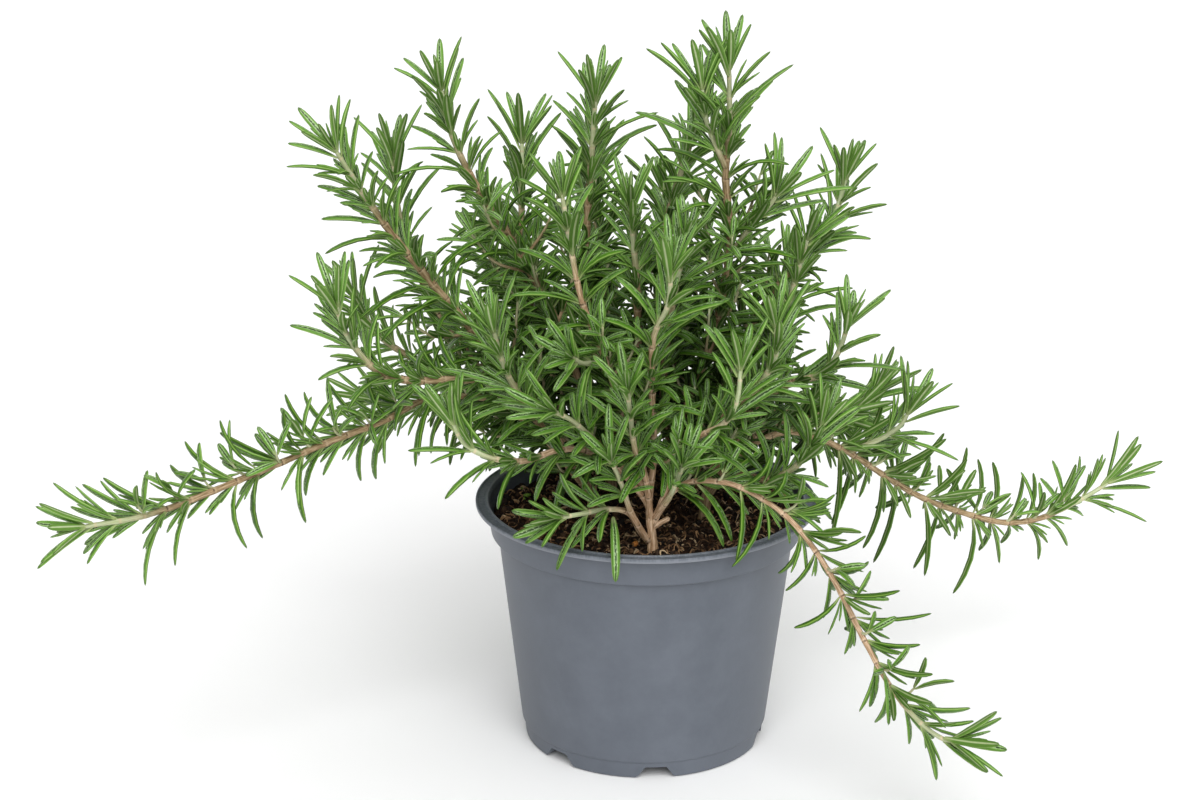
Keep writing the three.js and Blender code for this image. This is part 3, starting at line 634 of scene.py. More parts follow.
class Value:
    """One output of a material's nodes, which can be reckoned with like a number."""

    def __init__(self, nodes, socket):
        self.nodes, self.socket = nodes, socket

    def __add__(self, other):
        return self.nodes.math("ADD", self, other)

    def __sub__(self, other):
        return self.nodes.math("SUBTRACT", self, other)

    def __mul__(self, other):
        return self.nodes.math("MULTIPLY", self, other)

    def __gt__(self, other):
        return self.nodes.math("GREATER_THAN", self, other)

    def __abs__(self):
        return self.nodes.math("ABSOLUTE", self)


class Nodes:
    """One material, put together node by node; each method gives back the new node's value."""

    def __init__(self, name):
        self.material = bpy.data.materials.new(name)
        self.material.use_nodes = True
        self.tree = self.material.node_tree
        self.tree.nodes.clear()
        self.shader = self.tree.nodes.new("ShaderNodeBsdfPrincipled")
        output = self.tree.nodes.new("ShaderNodeOutputMaterial")
        self.tree.links.new(self.shader.outputs[0], output.inputs["Surface"])

    def put(self, value, socket):
        """Links a value to a socket, or sets a plain number or colour on it."""
        if isinstance(value, Value):
            self.tree.links.new(value.socket, socket)
        else:
            socket.default_value = linear(value) if isinstance(value, tuple) else value

    def node(self, kind, output, values=(), **settings):
        """A new node with those settings, and with values for its inputs in order or by name."""
        made = self.tree.nodes.new(kind)
        for name, setting in settings.items():
            setattr(made, name, setting)
        for name, value in values.items() if isinstance(values, dict) else enumerate(values):
            self.put(value, made.inputs[name])
        return Value(self, made.outputs[output])

    def attribute(self, name):
        return self.node("ShaderNodeAttribute", "Vector", attribute_name=name)

    def place(self):
        return self.node("ShaderNodeTexCoord", "Object")

    def split(self, vector):
        return [self.node("ShaderNodeSeparateXYZ", axis, [vector]) for axis in range(3)]

    def join(self, x, y, z):
        return self.node("ShaderNodeCombineXYZ", 0, [x, y, z])

    def math(self, operation, a, b=0.0):
        return self.node("ShaderNodeMath", 0, [a, b], operation=operation)

    def span(self, value, low, high, to_low=0.0, to_high=1.0):
        """A value's place between two others, as a clamped share or between two new values."""
        return self.node("ShaderNodeMapRange", 0, [value, low, high, to_low, to_high])

    def ramp(self, value, *stops):
        made = self.node("ShaderNodeValToRGB", 0, [value])
        elements = made.socket.node.color_ramp.elements
        while len(elements) < len(stops):
            elements.new(1)
        for element, (position, colour) in zip(elements, stops):
            element.position = position
            element.color = linear(colour)
        return made

    def mix(self, share, a, b):
        values = {0: share, 6: a, 7: b}
        return self.node("ShaderNodeMix", 2, values, data_type="RGBA", blend_type="MIX")

    def length(self, vector):
        return self.node("ShaderNodeVectorMath", "Value", [vector], operation="LENGTH")

    def noise(self, vector, scale, detail=3.0, roughness=0.5):
        values = {"Vector": vector, "Scale": scale, "Detail": detail, "Roughness": roughness}
        return self.node("ShaderNodeTexNoise", "Fac", values)

    def dots(self, vector):
        """The distance from each place to the nearest of many scattered points."""
        return self.node("ShaderNodeTexVoronoi", "Distance", {"Vector": vector, "Scale": 1.0})

    def finish(self, colour, roughness, gloss=0.5, relief=None, strength=0, depth=0):
        """Dresses the shader; a relief has a strength, and a depth in millimetres."""
        inputs = self.shader.inputs
        self.put(colour, inputs["Base Color"])
        self.put(gloss, inputs["Specular IOR Level"])
        self.put(roughness, inputs["Roughness"])
        if relief:
            values = {"Strength": strength, "Distance": depth * MM, "Height": relief}
            self.put(self.node("ShaderNodeBump", 0, values), inputs["Normal"])
        return self.material


def pot_material():
    nodes = Nodes("moulded_plastic")
    place = nodes.place()
    x, y, z = nodes.split(place)
    radius = nodes.length(nodes.join(x, y, 0.0))
    cloud = nodes.noise(place, 60.0, 6.0, 0.65)
    colour = nodes.mix(nodes.span(cloud, 0.35, 0.68), POT_GREY_DARK, POT_GREY)

    def line(value, middle, reach):
        """1 on a line round the pot, fading to 0 a little way off."""
        return nodes.span(abs(value - middle * MM), reach * MM, 0.0)

    rim_bottom = POT_HEIGHT - RIM_THICKNESS
    on_outside = radius > (BODY_TOP_RADIUS - WALL / 2) * MM
    # Painted shade: darker lines in the crease under the collar's step and just under the rim's lip, on the
    # outside
    crease_shade = nodes.math("MAXIMUM", line(z, COLLAR_BOTTOM - 0.2, 0.8), line(z, rim_bottom - 0.5, 1.1))
    colour = nodes.mix(crease_shade * on_outside * 0.55, colour, POT_PAINTED_SHADE)
    # Painted highlights: lighter lines along the rim's outer lower edge and along its inner top edge
    lip_highlight = line(radius, RIM_RADIUS, 0.6) * line(z, rim_bottom, 1.1)
    edge = line(radius, RIM_RADIUS - RIM_WIDTH, 0.7) * line(z, POT_HEIGHT, 0.6)
    colour = nodes.mix(nodes.math("MAXIMUM", lip_highlight, edge) * 0.7, colour, POT_HIGHLIGHT_AND_STREAK)
    streaks = nodes.noise(nodes.join(radius * 9.0, z, nodes.math("ARCTAN2", y, x)), 90.0)
    on_rim = (z > (POT_HEIGHT - 1) * MM) * on_outside
    colour = nodes.mix(on_rim * nodes.span(streaks, 0.4, 0.65, 0.0, 0.35), colour, POT_HIGHLIGHT_AND_STREAK)
    grain = nodes.noise(place, 900.0, 2.0)
    roughness = nodes.span(cloud, 0.3, 0.7, 0.46, 0.54)
    return nodes.finish(colour, roughness, relief=grain, strength=0.25, depth=0.08)


def soil_material():
    nodes = Nodes("potting_soil")
    place = nodes.place()
    coarse = nodes.noise(place, 180.0, 4.0, 0.65)
    fine = nodes.noise(place, 700.0, 4.0, 0.7)
    colour = nodes.ramp(coarse, (0.36, SOIL_DARK), (0.55, SOIL_BROWN), (0.74, SOIL_LIGHT))
    colour = nodes.mix(nodes.span(fine, 0.42, 0.62), colour, SOIL_DARK)
    return nodes.finish(colour, 0.92, 0.2, relief=fine, strength=0.8, depth=0.6)


def bit_material():
    nodes = Nodes("soil_bits")
    kind, tone, _ = nodes.split(nodes.attribute("bit"))
    stops = [((index + 0.5) / BIT_KINDS, colour) for index, colour in enumerate(BIT_COLOURS)]
    return nodes.finish(nodes.mix(tone * 0.5, nodes.ramp(kind, *stops), SOIL_DARK), 0.8, 0.3)


def bark_material(name, dark, brown, light):
    nodes = Nodes(name)
    vector = nodes.attribute("bark")
    age, tone, phase = nodes.split(nodes.attribute("bark_age"))
    streaks = nodes.noise(vector, 2.6, 5.0, 0.6)
    wood = nodes.ramp(streaks, (0.32, dark), (0.48, brown), (0.66, light))
    green = nodes.ramp(streaks, (0.35, BARK_GREEN), (0.65, BARK_PALE))
    colour = nodes.mix(tone * 0.35, nodes.mix(age, green, wood), dark)
    past_node = nodes.math("FRACT", phase + nodes.span(streaks, 0.2, 0.8, 0.02, 0.08))
    edge = nodes.span(past_node, 0.0, 0.05) * nodes.span(past_node, 0.17, 0.09)
    colour = nodes.mix(edge * 0.5, colour, light)
    partly = age * nodes.span(nodes.noise(vector, 1.1, 1.0), 0.44, 0.6, 0.15, 0.85)
    colour = nodes.mix(nodes.span(past_node, 0.09, 0.05) * partly, colour, BARK_SCAR)
    return nodes.finish(colour, 0.78, 0.3, relief=streaks, strength=0.7, depth=0.35)


def needle_material():
    nodes = Nodes("rosemary_needle")
    turn, along, _ = nodes.split(nodes.attribute("needle"))
    age, shade, _ = nodes.split(nodes.attribute("needle_age"))
    from_groove = abs(turn - 0.25) * 4.0
    from_rib = abs(turn - 0.75) * 4.0

    def faces(groove, row, body, margin, rib, under):
        """The colours of a needle's upper and lower face, from its middle out."""
        # The pale rows partly paint a glossy highlight; the lower face's dark body partly paints the shade
        # beneath the needle
        upper = nodes.ramp(
            from_groove, (0.06, groove), (0.19, row), (0.34, row), (0.5, body), (0.8, body), (0.92, margin))
        return upper, nodes.ramp(from_rib, (0.07, rib), (0.22, under), (0.85, under), (1.0, margin))

    young_upper, young_under = faces(*YOUNG)
    mature_upper, mature_under = faces(*MATURE)
    pattern = nodes.join(turn * 13.0, along * 22.0, age * 37.0 + shade * 11.0)
    distance = nodes.dots(pattern)
    # Painted highlights: pale speckles on the rows stand for glints; the same dots give the needle its fine
    # bumps
    speckle_and_glint = nodes.span(distance, 0.36, 0.12) * nodes.span(from_groove, 0.6, 0.42)
    dash = nodes.span(distance, 0.36, 0.52) * nodes.span(from_groove, 0.34, 0.16)
    upper = nodes.mix(speckle_and_glint * 0.6, nodes.mix(age, young_upper, mature_upper), SPECKLE_GLINT)
    upper = nodes.mix(dash * 0.7, upper, DEEP_GREEN)
    below = turn > 0.5
    colour = nodes.mix(below, upper, nodes.mix(age, young_under, mature_under))
    colour = nodes.mix(nodes.span(along, 0.2, 0.02) * 0.85, colour, NEEDLE_BASE)
    colour = nodes.mix(nodes.span(along, 0.9, 0.97) * 0.6, colour, NEEDLE_TIP)
    blotch = nodes.noise(pattern, 0.35, 2.0)
    # Painted shade: needles are darkened towards deep green by their depth in the bush, with a random tone
    # and blotches
    colour = nodes.mix(shade * 0.82 + nodes.span(blotch, 0.3, 0.7, 0.0, 0.12), colour, DEEP_GREEN)
    return nodes.finish(colour, below * 0.3 + 0.36, 0.26, relief=speckle_and_glint, strength=0.35, depth=0.08)


# The pot

def rounded(corners):
    """A line through (radius, height, fillet) corners, with each fillet drawn as a short curve."""
    line = []
    for index, (radius, height, fillet) in enumerate(corners):
        here = np.array([radius, height], float)
        if not fillet:
            line.append(here)
            continue
        before = np.array(corners[index - 1][:2], float) - here
        after = np.array(corners[index + 1][:2], float) - here
        start = here + before * min(0.45, fillet / np.linalg.norm(before))
        end = here + after * min(0.45, fillet / np.linalg.norm(after))
        for step in range(FILLET_STEPS + 1):
            share = step / FILLET_STEPS
            line.append(start * (1 - share) ** 2 + here * 2 * share * (1 - share) + end * share ** 2)
    return line


def pot_profile():
    rim_inner = RIM_RADIUS - RIM_WIDTH
    rim_bottom = POT_HEIGHT - RIM_THICKNESS
    collar = BODY_TOP_RADIUS + COLLAR_STEP
    foot_inner = FOOT_RADIUS - FOOT_WIDTH
    channel = POT_HEIGHT - RIM_CHANNEL_DEPTH
    return rounded([
        (0, FLOOR_UNDERSIDE, 0),
        (foot_inner - FOOT_DRAFT / 2, FLOOR_UNDERSIDE, 0.4),
        (foot_inner, 0, 0.3),
        (FOOT_RADIUS, 0, 0.6),
        (FOOT_RADIUS + FOOT_DRAFT, FOOT_HEIGHT - FOOT_DRAFT, 0.25),
        (BODY_BOTTOM_RADIUS, FOOT_HEIGHT, 0.45),
        (BODY_TOP_RADIUS, COLLAR_BOTTOM, 0.3),
        (collar, COLLAR_BOTTOM + RIM_LIP, 0.7),
        (rim_inner, rim_bottom, 0.3),
        (RIM_RADIUS - RIM_LIP, rim_bottom - RIM_LIP, 0.15),
        (RIM_RADIUS, rim_bottom, 0.2),
        (RIM_RADIUS, POT_HEIGHT, 0.45),
        (RIM_RADIUS - RIM_BEAD, POT_HEIGHT, 0.3),
        (RIM_RADIUS - RIM_BEAD - RIM_LIP, channel, 0.2),
        (rim_inner + RIM_BEAD, channel, 0.2),
        (rim_inner + RIM_BEAD - RIM_LIP, POT_HEIGHT, 0.2),
        (rim_inner - RIM_EDGE_BEVEL, POT_HEIGHT, 0.3),
        (rim_inner - RIM_INNER_BEVEL, POT_HEIGHT - RIM_THICKNESS, 0.3),
        (collar - WALL, COLLAR_BOTTOM + WALL, 0.5),
        (BODY_TOP_RADIUS - WALL, COLLAR_BOTTOM - WALL, 0.5),
        (BODY_BOTTOM_RADIUS - WALL, FLOOR_TOP, 0.8),
        (0, FLOOR_TOP, 0),
    ])


def lathe(profile, sides, name):
    """A solid of revolution; the profile's two ends are on the axis."""
    rounds = np.arange(sides) / sides
    rings = np.array(profile[1:-1])
    angles = rounds * 2 * math.pi
    sleeve = Sleeve(rounds, np.linspace(0, 1, len(rings)))
    points = np.stack([
        rings[:, :1] * np.cos(angles),
        rings[:, :1] * np.sin(angles),
        np.repeat(rings[:, 1:], sides, 1),
    ], -1).reshape(-1, 3)
    ends = np.array([[0, 0, profile[0][1]], [0, 0, profile[-1][1]]])
    piece = Piece(name)
    piece.add(np.concatenate([points, ends]), sleeve, {})
    return piece


def prism(piece, outline, place):
    """Adds an upright-sided solid between two copies of an outline, both put in place by a function."""
    count = len(outline)
    near = np.array([place(x, 0, z) for x, z in outline])
    far = np.array([place(x, 1, z) for x, z in outline])
    sleeve = Sleeve(np.arange(count) / count, [0, 1])
    ends = np.array([near.mean(0), far.mean(0)])
    piece.add(np.concatenate([near, far, ends]), sleeve, {})


def notch_outline():
    """A notch's outline: its left half from the roof down, then its right half from the foot up."""
    roof, foot = NOTCH_ROOF_WIDTH / 2, NOTCH_WIDTH / 2
    corner = NOTCH_CORNER
    half = [
        (roof - corner / 2, NOTCH_HEIGHT),
        (roof + corner / 4, NOTCH_HEIGHT - corner / 3),
        (lerp(foot, roof, corner / NOTCH_HEIGHT), corner),
        (foot + corner / 6, corner / 3),
        (foot + corner, 0),
        (foot + corner, -NOTCH_BELOW),
    ]
    return [(-x, z) for x, z in half] + half[::-1]


def add_notch(piece, degrees):
    angle = math.radians(degrees)

    def place(x, share, z):
        y = lerp(NOTCH_INWARD - FOOT_RADIUS, NOTCH_INWARD - FOOT_RADIUS - NOTCH_REACH, share)
        return (x * math.cos(angle) - y * math.sin(angle), x * math.sin(angle) + y * math.cos(angle), z)

    prism(piece, notch_outline(), place)


def add_drain_hole(piece, index):
    middle = index / DRAIN_HOLES * 2 * math.pi
    centre_x = DRAIN_RING_RADIUS * math.cos(middle)
    centre_y = DRAIN_RING_RADIUS * math.sin(middle)
    turns = np.arange(DRAIN_HOLE_SIDES) / DRAIN_HOLE_SIDES * 2 * math.pi
    outline = [(DRAIN_HOLE_RADIUS * math.cos(turn), DRAIN_HOLE_RADIUS * math.sin(turn)) for turn in turns]
    thickness = FLOOR_TOP - FLOOR_UNDERSIDE
    low, high = FLOOR_UNDERSIDE - thickness, FLOOR_TOP + thickness
    prism(piece, outline, lambda x, share, y: (centre_x + x, centre_y + y, lerp(low, high, share)))


def cut(piece, cutter):
    """Takes the cutter's solids out of the piece, for good."""
    change = piece.modifiers.new("cut", "BOOLEAN")
    change.object = cutter
    change.solver = "EXACT"
    shown = piece.evaluated_get(bpy.context.evaluated_depsgraph_get())
    mesh = bpy.data.meshes.new_from_object(shown)
    piece.modifiers.clear()
    piece.data = mesh
    bpy.data.objects.remove(cutter)


def make_pot():
    material = pot_material()
    cutters = Piece("pot_cutters")
    for pair in range(NOTCH_PAIRS):
        middle = NOTCH_PAIR_TURN + pair * 360 / NOTCH_PAIRS
        add_notch(cutters, middle - NOTCH_PAIR_SPREAD)
        add_notch(cutters, middle + NOTCH_PAIR_SPREAD)
    for index in range(DRAIN_HOLES):
        add_drain_hole(cutters, index)
    pot = lathe(pot_profile(), POT_SIDES, "pot_finished").build(material)
    cut(pot, cutters.build(material))
    pot.data.name = pot.name
    pot.data.shade_smooth()
    pot.data.set_sharp_from_angle(angle=math.radians(POT_SHARP_DEGREES))
    mount(pot, "pot", "pot")


# The soil

class Relief:
    """Smooth noise over a plane, from a lattice of seeded numbers."""

    SIZE = 96

    def __init__(self, seed):
        self.lattice = np.random.default_rng(seed).random((self.SIZE, self.SIZE)) * 2 - 1

    def at(self, x, y, scale):
        x, y = x / scale + self.SIZE, y / scale + self.SIZE
        column, row = np.floor(x).astype(int), np.floor(y).astype(int)
        across, up = smoothstep(x - column, 0, 1), smoothstep(y - row, 0, 1)
        value = lambda right, above: self.lattice[(column + right) % self.SIZE, (row + above) % self.SIZE]
        return lerp(lerp(value(0, 0), value(1, 0), across), lerp(value(0, 1), value(1, 1), across), up)


RELIEF = Relief(GROUND_SEED)

# Small things that lie on the soil: where, how large and of which colour
LEFTOVERS = [
    (-45.8, 14.1, 1.5, 7), (-46.8, 12.6, 1, 7), (-47.7, 26.4, 1.1, 5), (-48.2, 24.6, 0.9, 7),
    (-49, 22.8, 0.8, 5), (-4.5, -37.2, 1.2, 6), (-10, -35.2, 0.9, 5), (-9.5, -51, 1.2, 6), (8, -49, 0.9, 5),
    (32, -38, 1, 5), (-30, -20, 0.9, 5), (-22, -38, 0.8, 5), (20, -46, 0.9, 6), (41, -33, 1, 6),
]
SOIL_SCALES = ((15, 1), (6, 0.7), (2.8, 0.65), (1.5, 0.45))


def soil_radius_at(height):
    """The soil's radius at a height inside the collar, which widens up to the rim."""
    low_radius = BODY_TOP_RADIUS + COLLAR_STEP - WALL
    high_radius = RIM_RADIUS - RIM_WIDTH - RIM_INNER_BEVEL
    low = COLLAR_BOTTOM + WALL
    rise = (height - low) / (POT_HEIGHT - RIM_INNER_BEVEL - low)
    return lerp(low_radius, high_radius, rise) - CLEARANCE


def ground_height(x, y):
    share = np.hypot(x, y) / soil_radius_at(SOIL_LEVEL)
    uneven = sum(RELIEF.at(x + 31 * scale, y, scale) * part for scale, part in SOIL_SCALES)
    height = SOIL_LEVEL + SOIL_CROWN * (1 - share * share) + SOIL_RELIEF * uneven
    for trunk in TRUNKS.values():
        foot_x, foot_y = trunk["foot"]
        near = np.exp(-((x - foot_x) ** 2 + (y - foot_y) ** 2) / TRUNK_MOUND_SPREAD)
        height = lerp(height, SOIL_LEVEL + SOIL_CROWN, near * TRUNK_MOUND_SHARE)
    return height


def make_soil():
    top = soil_radius_at(SOIL_LEVEL)
    angles = np.arange(SOIL_SECTORS) / SOIL_SECTORS * 2 * math.pi
    side = [
        (BODY_BOTTOM_RADIUS - WALL - CLEARANCE, FLOOR_TOP + CLEARANCE),
        (BODY_TOP_RADIUS - WALL - CLEARANCE, COLLAR_BOTTOM - WALL + CLEARANCE),
        (BODY_TOP_RADIUS + COLLAR_STEP - WALL - CLEARANCE, COLLAR_BOTTOM + WALL + CLEARANCE),
    ]
    rings = []
    for radius, height in side:
        x, y = radius * np.cos(angles), radius * np.sin(angles)
        rings.append(np.stack([x, y, np.full(SOIL_SECTORS, height)], -1))
    for step in range(SOIL_RINGS, 0, -1):
        radius = top * step / SOIL_RINGS
        x, y = radius * np.cos(angles), radius * np.sin(angles)
        rings.append(np.stack([x, y, ground_height(x, y)], -1))
    middle = ground_height(np.zeros(1), np.zeros(1))[0]
    ends = np.array([[0, 0, FLOOR_TOP + CLEARANCE], [0, 0, middle]])
    points = np.concatenate(rings + [ends])
    sleeve = Sleeve(np.arange(SOIL_SECTORS) / SOIL_SECTORS, np.linspace(0, 1, len(rings)))
    piece = Piece("soil_ground")
    piece.add(points, sleeve, {})
    mount(piece.build(soil_material()), "soil", "soil")


Faces = namedtuple("Faces", "quads triangles")


def ball():
    """The corners and faces of a twenty-sided ball of radius 1."""
    golden = (1 + math.sqrt(5)) / 2
    points = np.array([
        (-1, golden, 0), (1, golden, 0), (-1, -golden, 0), (1, -golden, 0),
        (0, -1, golden), (0, 1, golden), (0, -1, -golden), (0, 1, -golden),
        (golden, 0, -1), (golden, 0, 1), (-golden, 0, -1), (-golden, 0, 1),
    ])
    triangles = np.array([
        (0, 11, 5), (0, 5, 1), (0, 1, 7), (0, 7, 10), (0, 10, 11), (1, 5, 9), (5, 11, 4), (11, 10, 2),
        (10, 7, 6), (7, 1, 8), (3, 9, 4), (3, 4, 2), (3, 2, 6), (3, 6, 8), (3, 8, 9), (4, 9, 5), (2, 4, 11),
        (6, 2, 10), (8, 6, 7), (9, 8, 1),
    ])
    return unit(points), Faces(np.zeros((0, 4), int), triangles)


def bit_layers(kind, tone, quad_places, triangle_places):
    """Every bit of a kind and tone has the same colour and the same cell of the map."""
    row = round(tone * BIT_TONES)
    value = np.array([(kind + 0.5) / BIT_KINDS, row / BIT_TONES, 0])
    cell = (kind, BIT_KINDS, row / (BIT_TONES + 1), (row + 1) / (BIT_TONES + 1))
    both = (quad_places, triangle_places)
    return {
        "bit": [np.broadcast_to(value, (*places.shape[:-1], 3)) for places in both],
        "OFBake": [in_cell(places, *cell) for places in both],
    }


def add_crumb(piece, random, middle, size, kind):
    points, faces = ball()
    stretch = size * (CRUMB_STRETCH + CRUMB_STRETCH_SPREAD * random.random(3))
    jitter = 1 + CRUMB_JITTER * (random.random((len(points), 1)) - 0.5)
    turn = Matrix.Rotation(random.random() * 2 * math.pi, 3, random.random(3) + 0.01)
    points = points * jitter * stretch @ np.array(turn) + middle
    places = np.tile([(0.0, 0.0), (1.0, 0.0), (0.5, 1.0)], (len(faces.triangles), 1, 1))
    piece.add(points, faces, bit_layers(kind, random.random(), np.zeros((0, 4, 2)), places))


def add_fibre(piece, random, middle, length, kind):
    """A thin curled root or bark fibre that lies on the soil."""
    radius = FIBRE_RADIUS + FIBRE_RADIUS_SPREAD * random.random()
    heading = random.random() * 2 * math.pi
    curl = (random.random() - 0.5) * FIBRE_CURL
    angles = heading + curl * np.linspace(0, 1, FIBRE_POINTS)
    steps = np.stack([np.cos(angles), np.sin(angles)], -1) * length / FIBRE_POINTS
    flat = np.cumsum(steps, 0) - steps.sum(0) / 2 + middle[:2]
    limit = soil_radius_at(SOIL_LEVEL) - 1
    flat = flat * np.minimum(1, limit / np.hypot(flat[:, 0], flat[:, 1]))[:, None]
    lift = radius + FIBRE_LIFT * random.random() * np.sin(np.linspace(0, math.pi, FIBRE_POINTS))
    points = np.column_stack([flat, ground_height(flat[:, 0], flat[:, 1]) + lift])
    run = Run(points, FIBRE_STEP)
    radii = radius * (0.6 + 0.5 * np.sin(np.linspace(0, 1, len(run.points)) * math.pi))
    add_tube(piece, run, radii, FIBRE_SIDES, lambda sleeve: bit_layers(
        kind, random.random(), sleeve.quad_places, sleeve.triangle_places))


def ground_at(x, y):
    """The height of the soil's surface at one place."""
    return ground_height(np.array([x]), np.array([y]))[0]


def make_soil_bits():
    random = np.random.default_rng(BITS_SEED)
    piece = Piece("soil_bits")
    limit = soil_radius_at(SOIL_LEVEL) - 2

    def spot(size):
        radius = limit * math.sqrt(random.random())
        angle = random.random() * 2 * math.pi
        x, y = radius * math.cos(angle), radius * math.sin(angle)
        return np.array([x, y, ground_at(x, y) + size * 0.25])

    def drawn_kind(shares):
        return int(random.choice(list(shares), p=list(shares.values())))

    count, least, more, shares = CRUMBS
    for _ in range(count):
        size = least + more * random.random() ** 2
        add_crumb(piece, random, spot(size), size, drawn_kind(shares))
    count, least, more, shares = LIGHT_GRAINS
    for _ in range(count):
        size = least + more * random.random()
        add_crumb(piece, random, spot(size), size, drawn_kind(shares))
    count, least, more, shares = FIBRES
    for _ in range(count):
        length = least + more * random.random() ** 2
        kind = drawn_kind(shares)
        add_fibre(piece, random, spot(0), length, kind)
    for x, y, size, kind in LEFTOVERS:
        add_crumb(piece, random, np.array([x, y, ground_at(x, y) + size * 0.6]), size, kind)
    mount(piece.build(bit_material()), "soil")


# Lines and tubes

def smooth_line(corners):
    """Points close together on the curve that the CAD draws through these corners."""
    corners = np.array(corners, float)
    padded = np.concatenate([[2 * corners[0] - corners[1]], corners, [2 * corners[-1] - corners[-2]]])
    share = (np.arange(CURVE_DIVISIONS) / CURVE_DIVISIONS)[:, None]
    line = []
    for index in range(len(corners) - 1):
        before, start, end, after = padded[index:index + 4]
        slope, end_slope = (end - before) / 2, (after - start) / 2
        square = -3 * start + 3 * end - 2 * slope - end_slope
        cube = 2 * start - 2 * end + slope + end_slope
        line.append(start + slope * share + square * share ** 2 + cube * share ** 3)
    return np.concatenate(line + [corners[-1:]])


def lengths_along(line):
    return np.concatenate([[0], np.cumsum(np.linalg.norm(np.diff(line, axis=0), axis=1))])


class Run:
    """A line from some way along it to its end, with frames that turn but don't twist."""

    def __init__(self, line, step, begin=0):
        lengths = lengths_along(line)
        self.length = lengths[-1] - begin
        count = max(2, round(self.length / step))
        self.step = self.length / count
        places = begin + np.arange(count + 1) * self.step
        self.points = np.stack([np.interp(places, lengths, line[:, axis]) for axis in range(3)], -1)
        self.tangents = unit(np.gradient(self.points, axis=0))
        side = np.array([0.0, 0, 1]) if abs(self.tangents[0][2]) < STEEP else np.array([1.0, 0, 0])
        sides = []
        for tangent in self.tangents:
            side = side - tangent * side.dot(tangent)
            side = side / math.sqrt(side.dot(side))
            sides.append(side)
        self.sides = np.array(sides)
        self.ups = np.cross(self.tangents, self.sides)

    def at(self, distance):
        place = min(max(distance / self.step, 0), len(self.points) - 1)
        index = min(int(place), len(self.points) - 2)
        between = lambda values: lerp(values[index], values[index + 1], place - index)
        tangent, side = unit(between(self.tangents)), unit(between(self.sides))
        return between(self.points), tangent, side, np.cross(tangent, side)

    def from_tip(self, distance):
        return self.at(self.length - distance)


def add_tube(piece, run, radii, sides, layers_of):
    """Adds a tube of those radii along a run; layers_of gives its corner values from its faces."""
    rounds = np.arange(sides) / sides
    angles = rounds * 2 * math.pi
    outward = run.sides[:, None] * np.cos(angles)[:, None] + run.ups[:, None] * np.sin(angles)[:, None]
    points = run.points[:, None] + outward * np.reshape(radii, (len(run.points), -1, 1))
    tips = np.array([
        run.points[0] - run.tangents[0] * np.mean(radii[0]) * 0.3,
        run.points[-1] + run.tangents[-1] * np.mean(radii[-1]) * 0.6,
    ])
    alongs = np.linspace(0, 1, len(run.points) + 2)[1:-1]
    sleeve = Sleeve(rounds, alongs)
    piece.add(np.concatenate([points.reshape(-1, 3), tips]), sleeve, layers_of(sleeve))


def add_bark(piece, run, radii, sides, browning, seed, cell, spacing=None):
    """Adds a tube of bark with its own cell of the map.

    It turns from green to brown between two distances from its far end, and has a scar at each node."""
    column, columns, low, high = cell
    tone = chance(seed, column, "bark")
    rings = len(run.points)

    def values(places):
        angle = places[..., 0] * 2 * math.pi
        along = places[..., 1] * run.length / 10
        pattern = np.stack([np.cos(angle), np.sin(angle) + seed * 5.3, along * 0.8], -1)
        age = smoothstep((1 - places[..., 1]) * run.length, *browning)
        share = (places[..., 1] * (rings + 1) - 1) / (rings - 1)
        phase = np.full_like(age, 0.5)
        if spacing:
            phase = (1 - share) * run.length / spacing - FIRST_NODE / NODE_SPACING
        ages = np.stack([age, np.full_like(age, tone), phase], -1)
        return pattern, ages, in_cell(places, column, columns, low, high)

    add_tube(piece, run, radii, sides, lambda sleeve: dict(zip(
        ("bark", "bark_age", "OFBake"), zip(values(sleeve.quad_places), values(sleeve.triangle_places)))))


# The room that the plant takes

class Space:
    """The places that stems and needles already take, kept in cells."""

    def __init__(self):
        self.cells = {}

    def take(self, points, owner, is_stem=False):
        for x, y, z in points.tolist():
            cell = (int(x // CELL), int(y // CELL), int(z // CELL))
            self.cells.setdefault(cell, []).append((x, y, z, owner, is_stem))

    def near(self, point, least):
        """The owners of all places nearer than that, each with whether it is a stem's."""
        x, y, z = point
        ranges = [range(int((value - least) // CELL), int((value + least) // CELL) + 1) for value in point]
        found = []
        for cell in product(*ranges):
            for px, py, pz, owner, is_stem in self.cells.get(cell, ()):
                if (px - x) ** 2 + (py - y) ** 2 + (pz - z) ** 2 < least * least:
                    found.append((owner, is_stem))
        return found


def is_in_the_open(points):
    """Whether all the points are inside the frame's box and off the ground, the pot and the soil."""
    if (points < BOX_LOW).any() or (points > BOX_HIGH).any() or (points[:, 2] < FLOOR_SPACE).any():
        return False
    radius, height = np.hypot(points[:, 0], points[:, 1]), points[:, 2]
    share = np.clip((height - FOOT_HEIGHT) / (COLLAR_BOTTOM - FOOT_HEIGHT), 0, 1)
    body = lerp(BODY_BOTTOM_RADIUS, BODY_TOP_RADIUS, share)
    wall = np.where(height > COLLAR_BOTTOM - POT_SPACE, RIM_RADIUS, body)
    is_in_rim = radius < RIM_RADIUS - RIM_WIDTH - POT_SPACE * 2
    over_soil = (height > SOIL_LEVEL + SOIL_CROWN + SOIL_SPACE) & is_in_rim
    return not ((height < POT_HEIGHT + POT_SPACE) & (radius < wall + POT_SPACE) & ~over_soil).any()


# Needles

Needle = namedtuple("Needle", "root tangent outward length width opening bend droop sway age shade")


